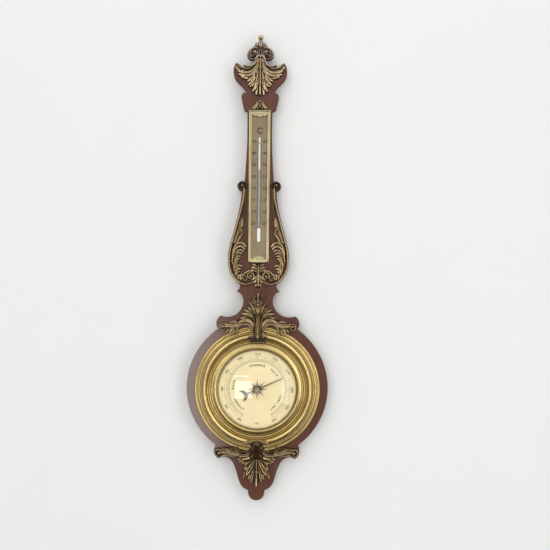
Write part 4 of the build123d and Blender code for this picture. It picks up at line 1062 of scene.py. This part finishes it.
def make_frame_moulding():
    """The thermometer's brass frame: two raised lines with a hollow between them,
    a scalloped drop at its head and a mound with a boss at its foot."""
    r = Relief(17.6, 201, 449)
    outer, inner, low, high = 15.7, 13.1, 204.4, 445.6
    r.plate([(12.3, 203), (17, 203), (17, 447), (12.3, 447)], 4.6, 0.5)
    r.plate([(0, 441.4), (17, 441.4), (17, 447), (0, 447)], 4.6, 0.3)
    r.plate([(0, 203), (17, 203), (17, 208.0), (0, 208.0)], 4.6, 0.3)
    for line in (
        [(outer, low), (outer, (low + high) / 2), (outer, high)],
        [(0, high), (outer / 2, high), (outer, high)],
        [(0, low), (outer / 2, low), (outer, low)],
    ):
        r.leaf(line, [1.35], [6.5, 6.5], round_power=0.35)
    for line in (
        [(inner, low + 4), (inner, (low + high) / 2), (inner, high - 5)],
        [(0, low + 4), (inner / 2, low + 4), (inner, low + 4)],
    ):
        r.leaf(line, [0.8], [5.8, 5.8], round_power=0.4, stain=-0.2)
    r.plate([(0, 442), (13, 442), (13, 440.0), (8.6, 437.8), (4.6, 438.0), (0, 435.6)], 3.0, 0.4)
    for x in (1.9, 5.4, 8.6, 11.6):
        r.leaf([(x, 442), (x, 439.4 - 0.12 * (12 - x))], [1.2, 1.0], [3.8, 3.6], stain=0.1)
    r.leaf([(0, 435.8), (4.6, 438.2), (8.6, 437.8), (13.0, 440.2)], [0.7], [4.6, 4.6], stain=-0.2)
    r.plate([(0, 207), (11.6, 207), (7, 210.6), (2.8, 213.2), (0, 214)], 3.4)
    r.leaf([(0, 213.4), (4.6, 211.8), (9.0, 208.8), (12.2, 207.8)], [1.3, 1.2, 1.0, 0.9],
           [5.8, 5.2, 4.8, 4.6], stain=-0.2)
    r.pearl(0, 211.2, 2.3, 6.4, -0.3)
    piece = r.build("thermometer_frame_moulded", "frame_brass", MATERIALS["frame_brass"])
    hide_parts("thermometer_frame")


# ---- Print ----------------------------------------------------------------------------------
def text_mesh(text, size, bold):
    """The flat outline of a short text as a mesh, centred on its own middle."""
    curve = bpy.data.curves.new("lettering", "FONT")
    curve.body = text
    curve.size = size * MM
    curve.align_x = "CENTER"
    curve.align_y = "CENTER"
    curve.resolution_u = 3
    curve.offset = bold * MM
    holder = bpy.data.objects.new("lettering", curve)
    bpy.context.collection.objects.link(holder)
    bpy.context.view_layer.update()
    mesh = bpy.data.meshes.new_from_object(holder)
    bpy.data.objects.remove(holder)
    bpy.data.curves.remove(curve)
    return mesh


class Print:
    """Flat ink shapes gathered into one mesh that stands just proud of a face."""

    def __init__(self, face_y, centre_z, thick=0.06):
        self.low = (FRONT_Y - face_y) / MM
        self.high = self.low + thick
        self.centre_z = centre_z
        self.vertices = []
        self.faces = []

    def shape(self, points, faces):
        """Add a flat shape of (x, z) points in mm about the centre, as a thin slab."""
        start = len(self.vertices)
        count = len(points)
        for height in (self.high, self.low):
            for x, z in points:
                self.vertices.append((x * MM, FRONT_Y - height * MM, self.centre_z + z * MM))
        edges = {}
        for face in faces:
            self.faces.append(tuple(start + v for v in face))
            self.faces.append(tuple(start + count + v for v in reversed(face)))
            for a, b in zip(face, face[1:] + face[:1]):
                edges[(a, b)] = edges.get((a, b), 0) + 1
        for a, b in edges:
            if (b, a) not in edges:
                self.faces.append((start + b, start + a, start + count + a, start + count + b))

    def text(self, text, size, x, z, turn=0.0, bold=0.0):
        """Lettering centred on a place, turned by degrees anticlockwise."""
        mesh = text_mesh(text, size, bold)
        cos, sin = math.cos(math.radians(turn)), math.sin(math.radians(turn))
        points = [(x + (v.co.x * cos - v.co.y * sin) / MM, z + (v.co.x * sin + v.co.y * cos) / MM)
                  for v in mesh.vertices]
        self.shape(points, [tuple(p.vertices) for p in mesh.polygons])
        bpy.data.meshes.remove(mesh)

    def arc(self, radius, half, start, end, steps=96):
        """A line of constant radius between two angles in degrees."""
        points = []
        for k in range(steps + 1):
            a = math.radians(start + (end - start) * k / steps)
            for r in (radius - half, radius + half):
                points.append((r * math.cos(a), r * math.sin(a)))
        self.shape(points, [(2 * k, 2 * k + 1, 2 * k + 3, 2 * k + 2)[::-1] for k in range(steps)])

    def text_round(self, text, size, radius, angle, bold):
        """Lettering on a circle, its foot towards the centre; angle in degrees."""
        a = math.radians(angle)
        self.text(text, size, radius * math.cos(a), radius * math.sin(a), angle - 90, bold)

    def tick(self, angle, r0, r1, half, pointed=False):
        """A radial line, or a dart that narrows to its tip."""
        a = math.radians(angle)
        cos, sin = math.cos(a), math.sin(a)
        foot = [(r0 * cos + side * sin, r0 * sin - side * cos) for side in (half, -half)]
        tip = [(r1 * cos + side * sin, r1 * sin - side * cos) for side in (half, -half)]
        points = [foot[0]] + ([(r1 * cos, r1 * sin)] if pointed else tip) + [foot[1]]
        self.shape(points, [tuple(range(len(points)))])

    def build(self, name, slot, material):
        """Make the mesh."""
        return new_object(name, self.vertices, self.faces, MATERIALS[material], slot, smooth=False)


def make_dial_print():
    """Pressure scale, weather words and a compass star."""
    ink = Print(DIAL_LOW[1], DIAL_Z)
    first, last, spread = 960, 1060, 300.0         # hPa at the scale's ends, and its degrees
    inner_r, outer_r, number_r, word_r = 44.6, 52.2, 55.6, 38.5
    letter_pitch = 0.86                            # of a letter's size
    for step in range(last - first + 1):
        angle = 90 + spread / 2 - spread * step / (last - first)
        if step % 10 == 0:
            ink.tick(angle, inner_r, 51.6, 0.34)
            ink.text_round(str(first + step), 4.8, number_r, angle, 0.12)
        elif step % 5 == 0:
            ink.tick(angle, inner_r, 50.8, 0.26)
        else:
            ink.tick(angle, inner_r, 49.6, 0.24)
    ink.arc(inner_r, 0.2, -60, 240, 160)
    ink.arc(outer_r, 0.16, -60, 240, 160)
    for word, middle, size in (("STORMY", 220, 4.6), ("RAIN", 170, 4.6), ("CHANGE", 90, 5.2),
                               ("FAIR", 45, 4.8), ("VERY DRY", -35, 4.2)):
        pitch = size * letter_pitch / word_r * 180 / math.pi
        for k, letter in enumerate(word):
            if letter != " ":
                ink.text_round(letter, size, word_r, middle - (k - (len(word) - 1) / 2) * pitch, 0.2)
    ink.text("hPa", 4.6, 0, -54.5)
    ink.build("dial_print", "dial_enamel", "print_ink")
    star = Print(DIAL_LOW[1], DIAL_Z, 0.08)
    for k in range(8):
        star.tick(90 + 45 * k, 3.0, 16.5, 1.4, pointed=True)
        star.tick(67.5 + 45 * k, 3.0, 10.5, 0.9, pointed=True)
    star.arc(3.4, 0.5, 0, 360, 32)
    star.arc(7.4, 0.14, 0, 360, 48)
    star.build("dial_star", "dial_enamel", "scale_ink")
    rim = Print(DIAL_LOW[1], DIAL_Z, 0.05)
    rim.arc(61.9, 0.28, 0, 360, 192)
    rim.build("dial_rim_line", "dial_enamel", "print_ink")


def make_scale_print():
    """Degrees on both sides of the tube, without minus signs, and the letter C."""
    ink = Print(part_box("thermometer_scale_plate")[0][1], PATTERN_Z)
    ink.text("C", 13.5, 0, 414, bold=0.38)
    warmest, coldest, top_z, low_z = 50, -20, 397.0, 266.0
    line_x, number_x, number_size = 2.4, 8.6, 6.6
    pitch = (top_z - low_z) / (warmest - coldest)
    for degree in range(coldest, warmest + 1):
        z = top_z - (warmest - degree) * pitch
        ten = degree % 10 == 0
        long = 2.0 if ten else (1.5 if degree % 5 == 0 else 1.0)
        half = 0.26 if ten else 0.14
        for side in (-1, 1):
            x0, x1 = sorted((side * line_x, side * (line_x + long)))
            ink.shape([(x0, z - half), (x1, z - half), (x1, z + half), (x0, z + half)], [(0, 1, 2, 3)])
            if ten:
                ink.text(str(abs(degree)), number_size, side * number_x, z, bold=0.14)
    ink.build("thermometer_print", "scale_bronze", "degree_ink")


make_ring()
make_glass()
make_ball()
make_tube()
make_frame_moulding()
make_dial_print()
make_scale_print()


# ---- Camera, light and stage ----------------------------------------------------------------
def make_camera():
    """The photograph's view: a little right of the object and level with the pear's lower end."""
    data = bpy.data.cameras.new("camera")
    data.lens = 65.0
    data.sensor_width = 36.0
    camera = bpy.data.objects.new("camera", data)
    bpy.context.collection.objects.link(camera)
    right, distance, above_dial, tilt = 0.0267, 1.589, 0.1827, 0.57
    camera.location = (right, FRONT_Y - distance, DIAL_Z + above_dial)
    roll = Quaternion((0, 0, 1), math.radians(tilt))
    camera.rotation_mode = "QUATERNION"
    camera.rotation_quaternion = Euler((math.pi / 2, 0, 0)).to_quaternion() @ roll
    bpy.context.scene.camera = camera


def area_light(name, location, target, size, power, colour=(1, 1, 1)):
    """A rectangular soft light aimed at a point."""
    data = bpy.data.lights.new(name, "AREA")
    data.shape = "RECTANGLE"
    data.size, data.size_y = size
    data.energy = power
    data.color = colour
    lamp = bpy.data.objects.new(name, data)
    bpy.context.collection.objects.link(lamp)
    lamp.location = location
    aim = Vector(target) - Vector(location)
    lamp.rotation_mode = "QUATERNION"
    lamp.rotation_quaternion = aim.to_track_quat("-Z", "Y")
    lamp.visible_camera = False
    return lamp


def from_dial(azimuth, elevation, distance):
    """A point at a direction from the dial's middle: 0 is straight out, + to the right and up."""
    a, e = math.radians(azimuth), math.radians(elevation)
    return Vector((0, FRONT_Y, DIAL_Z)) + distance * Vector(
        (math.sin(a) * math.cos(e), -math.cos(a) * math.cos(e), math.sin(e)))


def window_light(name, azimuth, elevation, width, height, distance, power, colour=(1, 1, 1)):
    """A bright window of a room, seen from the dial at these angles (degrees)."""
    size = [2 * distance * math.tan(math.radians(a / 2)) for a in (width, height)]
    return area_light(name, from_dial(azimuth, elevation, distance), (0, FRONT_Y, DIAL_Z), size,
                      power, colour)


def make_world():
    """A room: pale to look at; metal and lacquer mirror a bright ceiling, a dark floor and
    lighter walls to the sides."""
    world = bpy.data.worlds.new("room")
    bpy.context.scene.world = world
    world.use_nodes = True
    tree = world.node_tree
    plain = tree.nodes["Background"]
    plain.inputs["Color"].default_value = (0.93, 0.94, 0.93, 1)
    plain.inputs["Strength"].default_value = 0.50
    room = node(tree, "ShaderNodeBackground", Strength=1.0)
    place = node(tree, "ShaderNodeTexCoord")
    parts = node(tree, "ShaderNodeSeparateXYZ")
    wire(place, "Generated", parts, "Vector")

    def halved(axis):
        """A direction's component, brought from -1..1 to 0..1."""
        made = node(tree, "ShaderNodeMath", operation="MULTIPLY_ADD")
        made.inputs[1].default_value = 0.5
        made.inputs[2].default_value = 0.5
        wire(parts, axis, made, 0)
        return made.outputs["Value"]

    upward = ramp(tree, halved("Z"), [
        (0.10, (0.06, 0.055, 0.05)), (0.32, (0.20, 0.19, 0.17)), (0.50, (0.42, 0.41, 0.38)),
        (0.70, (0.98, 0.98, 0.95)), (0.92, (1.10, 1.11, 1.10)),
    ])
    sides = ramp(tree, halved("X"), [
        (0.04, grey(0.50)), (0.18, grey(1.70)), (0.36, grey(0.95)), (0.56, grey(0.85)),
        (0.78, grey(1.85)), (0.95, grey(0.7)),
    ])
    joined = node(tree, "ShaderNodeMixRGB", blend_type="MULTIPLY", Fac=1.0)
    wire(upward, "Color", joined, "Color1")
    wire(sides, "Color", joined, "Color2")
    behind = ramp(tree, parts.outputs["Y"], [(0.02, grey(0.0)), (0.20, grey(1.0))])
    whole = node(tree, "ShaderNodeMixRGB", Color2=(0.80, 0.80, 0.78, 1))
    wire(behind, "Color", whole, "Fac")
    wire(joined, "Color", whole, "Color1")
    wire(whole, "Color", room, "Color")
    path = node(tree, "ShaderNodeLightPath")
    blend_shaders(tree, path.outputs["Is Glossy Ray"], plain, room, "World Output")


def make_lights():
    """Soft daylight from the room's side of the wall, with window panes that metal and glass
    mirror. The two broad lamps aren't mirrored."""
    window_light("window_left", -10.2, -6.5, 12, 12, 2.6, 3.9)
    window_light("window_transom", -12.1, 2.7, 10.7, 0.9, 2.6, 0.3)
    window_light("window_middle", 18.5, -5, 4.5, 22, 2.6, 1.0, (0.9, 0.95, 1.0))
    window_light("window_right", 37, 2, 12, 34, 2.6, 7)
    ceiling = window_light("ceiling", 4, 52, 64, 30, 2.4, 13)
    fill = area_light("front_fill", from_dial(-10, 16, 4.0), (0, FRONT_Y, DIAL_Z), (2.4, 2.0), 38)
    ceiling.visible_glossy = False
    fill.visible_glossy = False
    fill.visible_transmission = False
    make_world()


def one_sided(name, colour):
    """Matt wall paint that is clear from behind, so the object's back can be seen, and that
    lets soft light through to whatever hangs within 60 mm of it."""
    material, tree, shader = new_material(name)
    mottle = stretched_noise(tree, 3.0, 2.0)
    tone = ramp(tree, mottle.outputs["Fac"], [(0.3, colour), (0.7, tuple(0.99 * c for c in colour))])
    wire(tone, "Color", shader, "Base Color")
    shader.inputs["Roughness"].default_value = 0.9
    facing = node(tree, "ShaderNodeNewGeometry")
    clear = node(tree, "ShaderNodeBsdfTransparent")
    path = node(tree, "ShaderNodeLightPath")
    near = node(tree, "ShaderNodeMath", operation="LESS_THAN")
    near.inputs[1].default_value = 60 * MM
    wire(path, "Ray Length", near, 0)
    soft = node(tree, "ShaderNodeMath", operation="SUBTRACT", use_clamp=True)
    wire(near, "Value", soft, 0)
    wire(path, "Is Camera Ray", soft, 1)
    either = node(tree, "ShaderNodeMath", operation="MAXIMUM")
    wire(facing, "Backfacing", either, 0)
    wire(soft, "Value", either, 1)
    blend_shaders(tree, either.outputs["Value"], shader, clear, "Material Output")
    return material


def stage_plane(name, corners, material):
    """A flat backdrop."""
    mesh = bpy.data.meshes.new(name)
    mesh.from_pydata(corners, [], [tuple(range(len(corners)))])
    mesh.materials.append(material)
    plane = bpy.data.objects.new(name, mesh)
    bpy.context.collection.objects.link(plane)
    return plane


def make_stage():
    """The wall that it hangs on and the floor below."""
    wall_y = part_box("wall_bumpers")[1][1] + 0.5 * MM
    floor_z = BOARD_LOW[2] - 0.75
    half, wall_top, front_y = 3.0, 2.4, -4.0
    paint = one_sided("wall_paint", (0.845, 0.845, 0.835))
    stage_plane("wall", [(-half, wall_y, floor_z), (half, wall_y, floor_z),
                         (half, wall_y, wall_top), (-half, wall_y, wall_top)], paint)
    floor = stage_plane("floor", [(-half, wall_y, floor_z), (-half, front_y, floor_z),
                                  (half, front_y, floor_z), (half, wall_y, floor_z)], paint)
    floor.visible_glossy = False


make_camera()
make_lights()
make_stage()
bpy.context.scene.view_settings.view_transform = "Standard"
